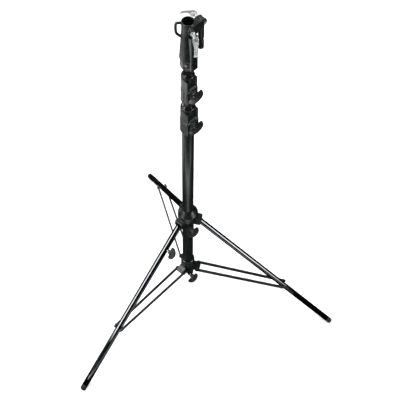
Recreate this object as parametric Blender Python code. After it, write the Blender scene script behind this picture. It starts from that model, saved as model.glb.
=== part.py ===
"""Folding three-leg studio stand with a levelling leg and two riser tubes.

The stand is stored collapsed with its legs spread, as it stands on a floor.
The levelling leg points along -Y; the other two legs are 120 and 240 degrees
round from it.  An azimuth is measured from -Y towards +X.  Units in the
constants are millimetres; everything is built in metres.
"""

import math

import bmesh
import bpy
from mathutils import Matrix, Vector

MM = 0.001

# ---------------------------------------------------------------- placement
COLUMN_Y = 0.127852            # column axis, so that the whole stand is centred on the origin
GAP = 0.3                     # clearance between pieces that touch

# ---------------------------------------------------------------- column and risers
COLUMN_R, COLUMN_WALL = 17.5, 2.0
COLUMN_Z = (175.0, 997.0)
RISER_1_R, RISER_1_WALL = 15.0, 1.8
RISER_1_Z = (205.0, 1128.5)
RISER_2_R, RISER_2_WALL = 12.5, 1.8
RISER_2_Z = (224.0, 1296.0)

# ---------------------------------------------------------------- legs
LEG_AZ = (0.0, 120.0, 240.0)  # levelling, right, rear
LEG_PIVOT = (39.0, 505.1)     # radius, height
LEG_LEAN = 43.66              # degrees from vertical when spread
LEG_LEAN_FOLDED = 3.0
LEG_JOINT = 418.7             # brace bolt, measured down the leg from its pivot
LEG_R = 9.5
LEVEL_R = 10.0
LEVEL_INNER_R = 8.2
LEVEL_TRAVEL = 70.0
LEVEL_CLAMP = 93.0            # clamp knob, measured down the leg from its pivot
FOOT_ROUND = 4.0
FOOT_LENGTH = 22.0
LEG_TOP = 8.5

# ---------------------------------------------------------------- braces
BRACE_PIVOT = (35.0, 202.2)
BRACE_LENGTH = 293.0
BRACE_W, BRACE_T = 14.0, 4.0
BRACE_IN, BRACE_OUT = 15.5, 12.9   # bar centre off the leg's plane at each end

# ---------------------------------------------------------------- collars
HUB_R = 23.0
LEG_COLLAR_Z = (503.0, 562.0)
BRACE_COLLAR_Z = (176.0, 249.0)
KNOB_AZ = 65.0
LEG_KNOB_Z = 488.0
BRACE_KNOB_Z = 184.0

CLAMP_AZ = 88.0
LOWER_CLAMP_Z = 977.0
UPPER_CLAMP_Z = 1108.5
CLAMP_H = 90.0
CLAMP_STEP = 51.0
CLAMP_SCREW = 32.0

# ---------------------------------------------------------------- head
HEAD_BOTTOM, HEAD_TOP = 1236.0, 1406.0
SOCKET_R = 14.3               # 28.6 mm socket
SOCKET_DEPTH = 78.0
LOCK_AZ = 64.0
LOCK_Z = 1393.0
SPIGOT_AZ = 177.0
SPIGOT_PIVOT = (34.6, 1394.0)
SPIGOT_SIDE = -9.9            # the stud's hinge sits beside the barrel's centre plane
SPIGOT_TONGUE = 5.5           # half the thickness of its flattened end
SPIGOT_R = 7.95               # 15.9 mm stud
SPIGOT_LENGTH = 101.0
LOOP_AZ = -47.8
LEVER_B_DROOP = 39.0          # lever below its screw's axis
LEVER_B_PIN = 24.0


# ================================================================ helpers
def clear_scene():
    for ob in list(bpy.data.objects):
        bpy.data.objects.remove(ob, do_unlink=True)
    for me in list(bpy.data.meshes):
        bpy.data.meshes.remove(me)


def material(name, colour, roughness, metallic):
    mat = bpy.data.materials.new(name)
    mat.use_nodes = True
    shader = mat.node_tree.nodes["Principled BSDF"]
    shader.inputs["Base Color"].default_value = (*colour, 1.0)
    shader.inputs["Roughness"].default_value = roughness
    shader.inputs["Metallic"].default_value = metallic
    mat.diffuse_color = (*colour, 1.0)
    return mat


def finish(bm, name):
    bmesh.ops.remove_doubles(bm, verts=bm.verts, dist=1e-6)
    bmesh.ops.recalc_face_normals(bm, faces=bm.faces)
    me = bpy.data.meshes.new(name)
    bm.to_mesh(me)
    bm.free()
    return me


def lathe(profile, segments=24, name="lathe", matrix=None):
    """Solid turned about Z.  The profile is (r, z) in mm; it is closed by the
    axis when its ends lie on it, and into a ring when no point does."""
    bm = bmesh.new()
    rings = []
    for r, z in profile:
        if r <= 1e-9:
            rings.append([bm.verts.new((0.0, 0.0, z * MM))])
            continue
        rings.append([
            bm.verts.new((r * MM * math.cos(2 * math.pi * i / segments),
                          r * MM * math.sin(2 * math.pi * i / segments), z * MM))
            for i in range(segments)])
    pairs = list(zip(rings, rings[1:]))
    if profile[0][0] > 0 and profile[-1][0] > 0:
        pairs.append((rings[-1], rings[0]))
    for a, b in pairs:
        for i in range(segments):
            j = (i + 1) % segments
            if len(a) == 1 and len(b) == 1:
                continue
            if len(a) == 1:
                bm.faces.new((a[0], b[j], b[i]))
            elif len(b) == 1:
                bm.faces.new((a[i], a[j], b[0]))
            else:
                bm.faces.new((a[i], a[j], b[j], b[i]))
    if matrix is not None:
        bmesh.ops.transform(bm, matrix=matrix, verts=bm.verts)
    return finish(bm, name)


def prism(outline, low, high, name="prism", matrix=None, bevel=0.0, bevel_segments=1):
    """Outline of (x, y) in mm, extruded from low to high along Z."""
    bm = bmesh.new()
    a = [bm.verts.new((x * MM, y * MM, low * MM)) for x, y in outline]
    b = [bm.verts.new((x * MM, y * MM, high * MM)) for x, y in outline]
    bottom = bm.faces.new(list(reversed(a)))
    top = bm.faces.new(b)
    n = len(outline)
    for i in range(n):
        bm.faces.new((a[i], a[(i + 1) % n], b[(i + 1) % n], b[i]))
    if bevel:
        rim = [e for e in bm.edges if top in e.link_faces or bottom in e.link_faces]
        bmesh.ops.bevel(bm, geom=rim, offset=bevel * MM, segments=bevel_segments,
                        profile=0.5, affect="EDGES", clamp_overlap=True)
    if matrix is not None:
        bmesh.ops.transform(bm, matrix=matrix, verts=bm.verts)
    return finish(bm, name)


def box(x, y, z, name="box", matrix=None, bevel=0.0):
    bm = bmesh.new()
    bmesh.ops.create_cube(bm, size=1.0)
    for v in bm.verts:
        v.co = Vector(((x[0] + x[1]) / 2 + v.co.x * (x[1] - x[0]),
                       (y[0] + y[1]) / 2 + v.co.y * (y[1] - y[0]),
                       (z[0] + z[1]) / 2 + v.co.z * (z[1] - z[0]))) * MM
    if bevel:
        bmesh.ops.bevel(bm, geom=list(bm.edges), offset=bevel * MM, segments=1,
                        profile=0.5, affect="EDGES", clamp_overlap=True)
    if matrix is not None:
        bmesh.ops.transform(bm, matrix=matrix, verts=bm.verts)
    return finish(bm, name)


def rod(axis, radius, low, high, centre=(0, 0, 0), segments=16, name="rod", chamfer=0.0):
    """Cylinder along X, Y or Z between low and high (mm) through centre."""
    if chamfer:
        profile = [(0, low), (radius - chamfer, low), (radius, low + chamfer),
                   (radius, high - chamfer), (radius - chamfer, high), (0, high)]
    else:
        profile = [(0, low), (radius, low), (radius, high), (0, high)]
    turn = {"Z": Matrix.Identity(4),
            "X": Matrix.Rotation(math.pi / 2, 4, "Y"),
            "Y": Matrix.Rotation(-math.pi / 2, 4, "X")}[axis]
    shift = Matrix.Translation(Vector(centre) * MM)
    return lathe(profile, segments, name, shift @ turn)


def combine(base, tools, operation):
    """Boolean of base with each tool, applied, in the order given."""
    temp = [bpy.data.objects.new("base", base)]
    bpy.context.scene.collection.objects.link(temp[0])
    for me in tools:
        ob = bpy.data.objects.new("tool", me)
        bpy.context.scene.collection.objects.link(ob)
        ob.hide_render = True
        ob.display_type = "WIRE"
        temp.append(ob)
        mod = temp[0].modifiers.new("bool", "BOOLEAN")
        mod.operation = operation
        mod.solver = "EXACT"
        mod.object = ob
    graph = bpy.context.evaluated_depsgraph_get()
    graph.update()
    out = bpy.data.meshes.new_from_object(temp[0].evaluated_get(graph))
    for ob in temp:
        bpy.data.objects.remove(ob, do_unlink=True)
    return out


def union(base, *tools):
    return combine(base, tools, "UNION")


def cut(base, *tools):
    return combine(base, tools, "DIFFERENCE")


def turned(mesh, azimuth):
    """A copy of mesh turned about Z so that its -Y side faces the azimuth."""
    out = mesh.copy()
    out.transform(Matrix.Rotation(math.radians(azimuth), 4, "Z"))
    return out


def moved(mesh, x=0.0, y=0.0, z=0.0):
    out = mesh.copy()
    out.transform(Matrix.Translation(Vector((x, y, z)) * MM))
    return out


def polar(azimuth, radius, height, side=0.0):
    """Point in mm at an azimuth and radius, side being along its tangent."""
    a = math.radians(azimuth)
    return Vector((radius * math.sin(a) + side * math.cos(a),
                   -radius * math.cos(a) + side * math.sin(a), height))


def add(name, mesh, mat, parent, location=(0, 0, 0), rotation=(0, 0, 0), smooth=35.0):
    """Object placed in its parent's frame, location in mm."""
    mesh.name = name
    mesh.materials.clear()
    mesh.materials.append(mat)
    mesh.shade_smooth()
    mesh.set_sharp_from_angle(angle=math.radians(smooth))
    ob = bpy.data.objects.new(name, mesh)
    ob.location = Vector(location) * MM
    ob.rotation_euler = rotation
    ob.parent = parent
    bpy.context.scene.collection.objects.link(ob)
    return ob


def arc(cx, cy, r, start, end, steps):
    """Points round a centre, angles in degrees counter-clockwise from +X."""
    return [(cx + r * math.cos(math.radians(start + (end - start) * i / steps)),
             cy + r * math.sin(math.radians(start + (end - start) * i / steps)))
            for i in range(steps + 1)]


# ================================================================ pieces
def tube(radius, wall, low, high, segments=28):
    inner = radius - wall
    return lathe([(radius, low), (radius, high), (inner, high), (inner, low)], segments)


def stop_plug(outer, inner, low, length=34.0):
    """Nylon guide on a riser's lower end: a flange that runs in the tube
    outside it and a body pressed into the riser."""
    return lathe([(0, low - 8), (outer, low - 8), (outer, low - GAP),
                  (inner, low - GAP), (inner, low + length), (0, low + length)], 20)


def u_outline(radius, face, corner, steps=12):
    """Half circle behind, square in front: the clamp castings' section."""
    pts = arc(0, 0, radius, 0, 180, steps)
    pts += arc(-radius + corner, -face + corner, corner, 180, 270, 2)
    pts += arc(radius - corner, -face + corner, corner, 270, 360, 2)
    return pts


def clamp_casting(tube_r, inner_r, base):
    """Casting on the top of one tube that clamps the next one."""
    low_r = tube_r + 4.7
    face = max(18.0, tube_r + 2.9)
    body = prism(u_outline(low_r, face, 2.2), base, base + CLAMP_STEP, bevel=0.8)
    top = prism(u_outline(low_r - 1.0, face - 1.0, 2.2), base + CLAMP_STEP - 4, base + CLAMP_H,
                bevel=1.2)
    pad = prism([(-9.5, -face + 6), (-9.5, -face - 4), (9.5, -face - 4), (9.5, -face + 6)],
                base + 12, base + CLAMP_STEP + 1, bevel=1.0)
    ring = rod("Y", 8.2, -face - 5.2, -face - 1, (0, 0, base + CLAMP_SCREW), 18)
    solid = union(body, top, pad, ring)
    bush_r = inner_r + 2.2
    return cut(
        solid,
        lathe([(0, base - 5), (tube_r + GAP, base - 5), (tube_r + GAP, base + 20.5),
               (inner_r + 0.7, base + 20.5), (inner_r + 0.7, base + 49.0),
               (bush_r + GAP, base + 49.0), (bush_r + GAP, base + CLAMP_H + 5),
               (0, base + CLAMP_H + 5)], 28),
        rod("Y", 5.3, -face - 12, -8, (0, 0, base + CLAMP_SCREW), 14)), face


def clamp_bush(inner_r, base, collar):
    """Nylon bush with a thick rounded collar that stands on the casting."""
    top = base + CLAMP_H
    outer = inner_r + 2.2
    return lathe([(inner_r + GAP, base + 50), (outer, base + 50), (outer, top + GAP),
                  (inner_r + collar - 0.6, top + GAP), (inner_r + collar, top + 1.5),
                  (inner_r + collar, top + 8), (inner_r + collar - 1.2, top + 12.5),
                  (inner_r + collar - 3.6, top + 15.5),
                  (inner_r + GAP, top + 15.5)], 26)


def clamp_shoe(inner_r):
    """Brass shoe between a clamp screw and the tube; +Y side is hollowed."""
    body = rod("Y", 5.0, -inner_r - 3.4, -inner_r + 1.5, segments=14)
    return cut(body, rod("Z", inner_r + GAP, -10, 10, segments=28))


def wing_knob(tip, neck, wing_at, wing_length=20.0, half=24.5, thick=3.5, stud_r=4.0, neck_r=7.0):
    """Moulded half-moon knob on a threaded stud, turned about Y and pointing
    along -Y.  Distances are from the object's origin."""
    end = wing_at + wing_length
    outline = [(half - 3.0, -wing_at)]
    outline += [(-half + 3.0, -wing_at)]
    steps = 10
    for i in range(steps + 1):
        a = math.pi * i / steps
        outline.append((-half * math.cos(a),
                        -(wing_at + 4.0) - (wing_length - 4.0) * math.sin(a) ** 0.85))
    wing = prism(outline, -thick, thick, bevel=1.3)
    core = lathe([(0, tip), (stud_r - 0.6, tip), (stud_r, tip + 0.6), (stud_r, neck),
                  (neck_r, neck), (neck_r, max(wing_at - 1, neck + 0.4)), (6.2, wing_at + 6), (4.5, end - 7),
                  (0, end - 6)], 14, matrix=Matrix.Rotation(math.pi / 2, 4, "X"))
    return union(core, wing)


def tongue(knob_z, top):
    """Block on a collar's sleeve that carries the clamp screw, and the round
    seat for the knob on its face."""
    block = prism([(-10, -10), (-10, -26.5), (-8, -28.5), (8, -28.5), (10, -26.5), (10, -10)],
                  knob_z - 10.5, top, bevel=1.2)
    return turned(union(block, rod("Y", 8.0, -33.0, -20, (0, 0, knob_z), 18)), KNOB_AZ)


def collar_bores(z, knob_z):
    return [rod("Z", COLUMN_R + GAP, z[0] - 40, z[1] + 10, segments=28),
            turned(rod("Y", 4.4, -40, -12, (0, 0, knob_z), 14), KNOB_AZ)]


def make_leg_collar():
    bottom, top = LEG_COLLAR_Z
    crown = lathe([(10, bottom), (HUB_R, bottom), (HUB_R, bottom + 10), (30.5, bottom + 11.5),
                   (32, bottom + 14), (32, top - 22), (30.5, top - 18.5), (20.2, top - 1.2),
                   (19.2, top), (10, top)], 32)
    r, h = LEG_PIVOT
    parts, slots = [], []
    for az in LEG_AZ:
        outline = [(-12, h + 19.4), (-42, h + 19.4), (-44.5, h + 16.9)]
        outline += arc(-36, h - 1.1, 8.5, 180, 270, 4) + [(-12, h - 9.6)]
        # drawn in the radius-height plane, then stood up so that it spans the tangent
        block = prism(outline, -14, 14, bevel=1.0,
                      matrix=Matrix(((0, 0, 1, 0), (1, 0, 0, 0), (0, 1, 0, 0), (0, 0, 0, 1))))
        parts.append(turned(block, az))
        slots.append(turned(box((-10.7, 10.7), (-70, -23.4), (h - 40, h + 15.9)), az))
        slots.append(turned(rod("X", 4.3, -30, 30, (0, -r, h), 14), az))
    solid = union(crown, tongue(LEG_KNOB_Z, 540.0), *parts)
    return cut(solid, *collar_bores(LEG_COLLAR_Z, LEG_KNOB_Z), *slots)


def make_brace_collar():
    low, high = BRACE_COLLAR_Z
    hub = lathe([(10, low), (HUB_R - 1.0, low), (HUB_R, low + 1.0), (HUB_R, high - 3.5),
                 (HUB_R - 3.0, high), (10, high)], 28)
    r, h = BRACE_PIVOT
    parts, holes = [], []
    for az in LEG_AZ:
        outline = [(-12, h + 12), (-26, h + 12)] + arc(-r, h, 8.5, 90, 270, 6) + [(-12, h - 10)]
        block = prism(outline, -13, 13, bevel=1.2,
                      matrix=Matrix(((0, 0, 1, 0), (1, 0, 0, 0), (0, 1, 0, 0), (0, 0, 0, 1))))
        parts.append(turned(block, az))
        holes.append(turned(rod("X", 3.3, -30, 30, (0, -r, h), 12), az))
    solid = union(hub, tongue(BRACE_KNOB_Z, 236.0), *parts)
    return cut(solid, *collar_bores(BRACE_COLLAR_Z, BRACE_KNOB_Z), *holes)


def rivet(shaft, reach, head, thick, segments=14):
    """Pin with a head at each end, along X."""
    return lathe([(0, -reach - thick), (head - 0.8, -reach - thick), (head, -reach), (shaft, -reach),
                  (shaft, reach), (head, reach), (head - 0.8, reach + thick), (0, reach + thick)],
                 segments, matrix=Matrix.Rotation(math.pi / 2, 4, "Y"))


def make_brace(side):
    """Flat bar with round ends, drawn at its collar pivot and pointing along
    -Y.  It closes in on the leg's plane by a few millimetres."""
    half = BRACE_W / 2
    outline = arc(0, 0, half, 90, -90, 6) + arc(-BRACE_LENGTH - 3.5, 0, half, 270, 90, 6)
    bar = prism(outline, -BRACE_T / 2, BRACE_T / 2, bevel=0.7, bevel_segments=1,
                matrix=Matrix(((0, 0, 1, 0), (1, 0, 0, 0), (0, 1, 0, 0), (0, 0, 0, 1))))
    if side > 0:
        head = rod("X", 5.5, 0.5, BRACE_T / 2 + 3.0, (0, -BRACE_LENGTH, 0), 12)
    else:
        head = rod("X", 5.5, -BRACE_T / 2 - 3.0, -0.5, (0, -BRACE_LENGTH, 0), 12)
    bar = cut(union(bar, head), rod("X", 3.3, -10, 10, (0, 0, 0), 12))
    slope = (BRACE_IN - BRACE_OUT) / BRACE_LENGTH
    for v in bar.vertices:
        v.co.x += side * (BRACE_IN * MM + v.co.y * slope)
    return bar


def leg_tube(radius, wall, bottom, inner_end):
    return cut(tube(radius, wall, -bottom, LEG_TOP, 22),
               rod("X", 4.3, -20, 20, (0, 0, 0), 14),
               rod("X", 3.3, -20, 20, (0, 0, -LEG_JOINT), 12))


def foot_end(radius):
    """Distance from the pivot to the foot's end, so that its rounded edge
    just meets the floor."""
    lean = math.radians(LEG_LEAN)
    return FOOT_ROUND + (LEG_PIVOT[1] - FOOT_ROUND
                         - (radius - FOOT_ROUND) * math.sin(lean)) / math.cos(lean)


def make_foot(radius, plug_r, plug_length=24.0):
    end = foot_end(radius)
    top = end - FOOT_LENGTH
    corner = [(radius - FOOT_ROUND + FOOT_ROUND * math.sin(math.radians(a)),
               -(end - FOOT_ROUND) - FOOT_ROUND * math.cos(math.radians(a)))
              for a in (0, LEG_LEAN / 2, LEG_LEAN, 67, 90)]
    return lathe([(0, -end)] + corner + [(radius, -top - GAP),
                 (plug_r, -top - GAP), (plug_r, -top + plug_length), (0, -top + plug_length)], 24)


def make_leg_plug(inner_r, outer_r):
    return lathe([(0, 5.2), (inner_r, 5.2), (inner_r, LEG_TOP + GAP), (outer_r - 0.3, LEG_TOP + GAP),
                  (outer_r - 0.9, LEG_TOP + 2.1), (0, LEG_TOP + 2.1)], 22)


def make_head():
    shape = [(6, HEAD_BOTTOM), (13.5, HEAD_BOTTOM), (16.5, HEAD_BOTTOM + 3.0), (19.4, HEAD_BOTTOM + 8.0),
             (21.0, HEAD_BOTTOM + 15.0), (21.4, HEAD_BOTTOM + 24.0), (21.4, HEAD_BOTTOM + 40.0),
             (22.6, HEAD_BOTTOM + 41.2), (22.6, HEAD_BOTTOM + 46.0), (20.6, HEAD_TOP - 92.0),
             (18.4, HEAD_TOP - 58.0), (17.0, HEAD_TOP - 34.0), (16.7, HEAD_TOP - 9.0),
             (17.5, HEAD_TOP - 6.5), (17.5, HEAD_TOP - 1.0), (16.6, HEAD_TOP), (6, HEAD_TOP)]
    barrel = lathe(shape, 28)
    pad = turned(prism([(-11.5, -8), (-11.5, -23.0), (-9.0, -25.5), (9.0, -25.5), (11.5, -23.0),
                        (11.5, -8)], HEAD_BOTTOM + 9, HEAD_TOP - 40, bevel=2.0), CLAMP_AZ)
    boss = turned(rod("Y", 8.5, -30.0, -15.5, (0, 0, LOCK_Z), 18), LOCK_AZ)
    # safety loop: a D of round bar with its ends inside the barrel
    path = [(-8, 1399), (-24, 1399.5), (-27.5, 1398.5), (-29.8, 1395.5), (-30.4, 1390),
            (-30.4, 1371), (-29.6, 1365.5), (-27.2, 1361), (-21, 1355), (-8, 1345)]
    loop = turned(sweep(path, 3.7, 8), LOOP_AZ)
    # lug that carries the stud's hinge, slotted for its flattened end
    r, h = SPIGOT_PIVOT
    ear = SPIGOT_TONGUE + 4.1
    outline = [(2, h + 9.5), (-r + 3, h + 9.5)] + arc(-r, h, 9.5, 100, 250, 6) + [(-22, h - 22), (2, h - 30)]
    lug = prism(outline, SPIGOT_SIDE - ear, SPIGOT_SIDE + ear, bevel=1.0,
                matrix=Matrix(((0, 0, 1, 0), (1, 0, 0, 0), (0, 1, 0, 0), (0, 0, 0, 1))))
    slot = box((SPIGOT_SIDE - SPIGOT_TONGUE - GAP, SPIGOT_SIDE + SPIGOT_TONGUE + GAP),
               (-70, -r + 9.8), (h - 60, h + 30))
    room = box((SPIGOT_SIDE - SPIGOT_R - 0.7, SPIGOT_SIDE + SPIGOT_R + 0.7),
               (-70, -r + SPIGOT_R + 0.7), (h - 60, h - 10.5))
    solid = union(barrel, pad, boss, loop, turned(lug, SPIGOT_AZ))
    return cut(
        solid,
        rod("Z", SOCKET_R, HEAD_TOP - SOCKET_DEPTH, HEAD_TOP + 10, segments=28),
        rod("Z", RISER_2_R + GAP, HEAD_BOTTOM - 10, RISER_2_Z[1] + GAP, segments=28),
        lathe([(0, HEAD_TOP - 1.4), (SOCKET_R - 0.5, HEAD_TOP - 1.4), (SOCKET_R + 1.6, HEAD_TOP + 1),
               (0, HEAD_TOP + 1)], 28),
        turned(rod("Y", 4.4, -60, -8, (0, 0, LOCK_Z), 14), LOCK_AZ),
        turned(slot, SPIGOT_AZ),
        turned(room, SPIGOT_AZ),
        turned(rod("X", 4.4, SPIGOT_SIDE - 20, SPIGOT_SIDE + 20, (0, -r, h), 14), SPIGOT_AZ),
        turned(rod("Y", 3.3, -40, 40, (0, 0, HEAD_BOTTOM + 30), 12), 28.0))


def sweep(path, radius, segments):
    """Round bar along a path of (y, z) in the plane x = 0, capped."""
    bm = bmesh.new()
    pts = [Vector((0, y, z)) * MM for y, z in path]
    rings = []
    for i, p in enumerate(pts):
        a = pts[max(i - 1, 0)]
        b = pts[min(i + 1, len(pts) - 1)]
        t = (b - a).normalized()
        n = Vector((0, -t.z, t.y))
        m = Vector((1, 0, 0))
        rings.append([bm.verts.new(p + radius * MM * (math.cos(2 * math.pi * k / segments) * n
                                                      + math.sin(2 * math.pi * k / segments) * m))
                      for k in range(segments)])
    for a, b in zip(rings, rings[1:]):
        for k in range(segments):
            j = (k + 1) % segments
            bm.faces.new((a[k], a[j], b[j], b[k]))
    bm.faces.new(list(reversed(rings[0])))
    bm.faces.new(rings[-1])
    return finish(bm, "sweep")


def lock_screw(tip, shoulder, pin):
    """Clamp screw along -Y with a flattened end for its lever; the lever's
    pin runs along X at the distance pin."""
    shaft = lathe([(0, tip), (3.2, tip), (4.0, tip + 0.8), (4.0, shoulder), (6.4, shoulder),
                   (6.4, shoulder + 2.5), (3.7, shoulder + 4.0), (3.7, pin - 5.4), (0, pin - 5.4)],
                  16, matrix=Matrix.Rotation(math.pi / 2, 4, "X"))
    outline = [(-shoulder - 3, 4.4), (-shoulder - 3, -4.4)] + arc(-pin, 0, 4.6, 270, 90, 6)
    tongue = prism(outline, -3.5, 3.5,
                   matrix=Matrix(((0, 0, 1, 0), (1, 0, 0, 0), (0, 1, 0, 0), (0, 0, 0, 1))))
    return cut(union(shaft, tongue), rod("X", 2.2, -10, 10, (0, -pin, 0), 10))


def lock_lever():
    """Pressed lever that hangs from the lock screw's pin: two cheeks, a
    bridge on the outer side, a blade and a flared end."""
    cheeks = [box(x, (-7.4, 4.4), (-15.0, 5.4), bevel=0.6) for x in ((-6.6, -3.9), (3.9, 6.6))]
    bridge = box((-6.6, 6.6), (-8.2, -5.6), (-18.0, 0.5), bevel=0.6)
    blade = box((-4.2, 4.2), (-8.2, -5.2), (-50.0, -14.0), bevel=0.6)
    end = prism([(-4.2, -46), (-6.0, -51), (-6.0, -55.3), (-4.8, -56.5), (4.8, -56.5), (6.0, -55.3),
                 (6.0, -51), (4.2, -46)], -8.8, -4.8, bevel=0.6, bevel_segments=1,
                matrix=Matrix(((1, 0, 0, 0), (0, 0, 1, 0), (0, 1, 0, 0), (0, 0, 0, 1))))
    solid = union(bridge, *cheeks, blade, end)
    return cut(solid, rod("X", 2.2, -12, 12, (0, 0, 0), 10))


def make_spigot():
    tongue = prism(arc(0, 0, 8.6, 0, 180, 10) + [(-7.3, -16), (7.3, -16)],
                   -SPIGOT_TONGUE, SPIGOT_TONGUE,
                   matrix=Matrix(((0, 0, 1, 0), (1, 0, 0, 0), (0, 1, 0, 0), (0, 0, 0, 1))))
    stud = lathe([(0, -11.5), (SPIGOT_R, -11.5), (SPIGOT_R, -62), (6.6, -64), (6.6, -72), (SPIGOT_R, -74),
                  (SPIGOT_R, -SPIGOT_LENGTH + 3), (SPIGOT_R - 2.4, -SPIGOT_LENGTH),
                  (0, -SPIGOT_LENGTH)], 20)
    return cut(union(tongue, stud), rod("X", 4.3, -20, 20, (0, 0, 0), 14))


# ================================================================ assembly
def build():
    clear_scene()
    black_chrome = material("black_chrome", (0.020, 0.022, 0.023), 0.18, 0.9)
    column_paint = material("column_finish", (0.035, 0.040, 0.039), 0.34, 0.7)
    chrome = material("chrome", (0.78, 0.79, 0.80), 0.10, 1.0)
    casting = material("casting_black", (0.030, 0.034, 0.034), 0.42, 0.3)
    nylon = material("nylon_black", (0.012, 0.012, 0.013), 0.38, 0.0)
    knob_black = material("knob_black", (0.020, 0.021, 0.021), 0.33, 0.0)
    rubber = material("rubber_black", (0.011, 0.011, 0.012), 0.72, 0.0)
    brass = material("brass", (0.60, 0.46, 0.20), 0.30, 1.0)
    steel = material("zinc_steel", (0.52, 0.53, 0.54), 0.32, 1.0)
    satin = material("satin_nickel", (0.66, 0.67, 0.67), 0.32, 0.6)

    def own(mat, name):
        out = mat.copy()
        out.name = name
        return out

    stand = bpy.data.objects.new("stand", None)
    stand.location = (0.0, COLUMN_Y, 0.0)
    bpy.context.scene.collection.objects.link(stand)

    def put(name, mesh, mat, location=(0, 0, 0), rotation=(0, 0, 0)):
        return add(name, mesh, own(mat, name), stand, location, rotation)

    # column, risers and their guides
    put("column_tube", tube(COLUMN_R, COLUMN_WALL, *COLUMN_Z), column_paint)
    put("column_foot_plug",
        lathe([(0, 171.5), (16.5, 171.5), (17.2, 172.5), (17.2, 175 - GAP), (15.2, 175 - GAP),
               (15.2, 193), (0, 193)], 24), nylon)
    put("riser_1_tube", tube(RISER_1_R, RISER_1_WALL, *RISER_1_Z), chrome)
    put("riser_1_guide", stop_plug(COLUMN_R - COLUMN_WALL - 0.2, RISER_1_R - RISER_1_WALL - 0.3,
                                   RISER_1_Z[0], length=6.0), nylon)
    put("riser_2_tube", cut(tube(RISER_2_R, RISER_2_WALL, *RISER_2_Z),
                            turned(rod("Y", 3.3, -40, 40, (0, 0, HEAD_BOTTOM + 30), 12), 28.0)),
        chrome)
    put("riser_2_guide", stop_plug(RISER_1_R - RISER_1_WALL - 0.2, RISER_2_R - RISER_2_WALL - 0.3,
                                   RISER_2_Z[0], length=20.0), nylon)

    # clamp castings between the tubes
    for label, base, tube_r, inner_r, collar, set_at in (
            ("lower", LOWER_CLAMP_Z, COLUMN_R, RISER_1_R, 5.7, -13.0),
            ("upper", UPPER_CLAMP_Z, RISER_1_R, RISER_2_R, 5.9, -16.0)):
        body, face = clamp_casting(tube_r, inner_r, base)
        put(f"{label}_clamp_casting", turned(body, CLAMP_AZ), casting)
        put(f"{label}_clamp_bush", clamp_bush(inner_r, base, collar), nylon)
        turn = (0, 0, math.radians(CLAMP_AZ))
        put(f"{label}_clamp_shoe", clamp_shoe(inner_r), brass, (0, 0, base + CLAMP_SCREW), turn)
        put(f"{label}_clamp_knob",
            wing_knob(inner_r + 3.8, face + 5.5, face + 6.4, 16.8, 25.0, 4.6), knob_black,
            (0, 0, base + CLAMP_SCREW), (0, math.radians(set_at), math.radians(CLAMP_AZ)))

    # collars on the column
    put("leg_collar", make_leg_collar(), casting)
    put("leg_collar_knob", wing_knob(COLUMN_R + 0.6, 33.3, 41.0, 20.0, 21.5, 4.2), knob_black,
        (0, 0, LEG_KNOB_Z), (0, math.radians(-42), math.radians(KNOB_AZ)))
    put("brace_collar", make_brace_collar(), casting)
    put("brace_knob_washer", lathe([(4.3, 33.3), (7.6, 33.3), (7.6, 35.3), (4.3, 35.3)], 18,
                                   matrix=Matrix.Rotation(math.pi / 2, 4, "X")), chrome,
        (0, 0, BRACE_KNOB_Z), (0, 0, math.radians(KNOB_AZ)))
    put("brace_collar_knob", wing_knob(COLUMN_R + 0.6, 35.6, 43.0, 18.0, 21.5, 4.2), knob_black,
        (0, 0, BRACE_KNOB_Z), (0, math.radians(-50), math.radians(KNOB_AZ)))

    # legs
    names = ("levelling", "right", "rear")
    lean = math.radians(-LEG_LEAN)
    plain_end = foot_end(LEG_R)
    level_end = foot_end(LEVEL_R)
    for name, az in zip(names, LEG_AZ):
        turn = (0, 0, math.radians(az))
        tilt = (lean, 0, math.radians(az))
        pivot = polar(az, *LEG_PIVOT)
        put(f"{name}_leg_bolt", rivet(4.0, 14.3, 5.2, 2.7), steel, pivot, turn)
        if name == "levelling":
            outer = leg_tube(LEVEL_R, 1.5, level_end - FOOT_LENGTH, 0)
            outer = cut(outer, rod("X", 4.4, 4, 20, (0, 0, -LEVEL_CLAMP), 14))
            put("levelling_leg_outer_tube", outer, black_chrome, pivot, tilt)
            slot = box((-20, 20), (-3.6, 3.6), (-LEG_JOINT - 4.5, -LEG_JOINT + LEVEL_TRAVEL + 4.5))
            inner = cut(lathe([(LEVEL_INNER_R, -(level_end - FOOT_LENGTH) + 0.6),
                               (LEVEL_INNER_R, -12), (LEVEL_INNER_R - 1.5, -12),
                               (LEVEL_INNER_R - 1.5, -(level_end - FOOT_LENGTH) + 0.6)], 22), slot)
            put("levelling_leg_inner_tube", inner, chrome, pivot, tilt)
            boss = cut(rod("X", 7.4, 3, 14.6, (0, 0, -LEVEL_CLAMP), 18),
                       rod("Z", LEVEL_R + GAP, -LEVEL_CLAMP - 30, -LEVEL_CLAMP + 30, segments=28),
                       rod("X", 4.4, 0, 30, (0, 0, -LEVEL_CLAMP), 14))
            put("levelling_clamp_boss", boss, casting, pivot, tilt)
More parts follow.
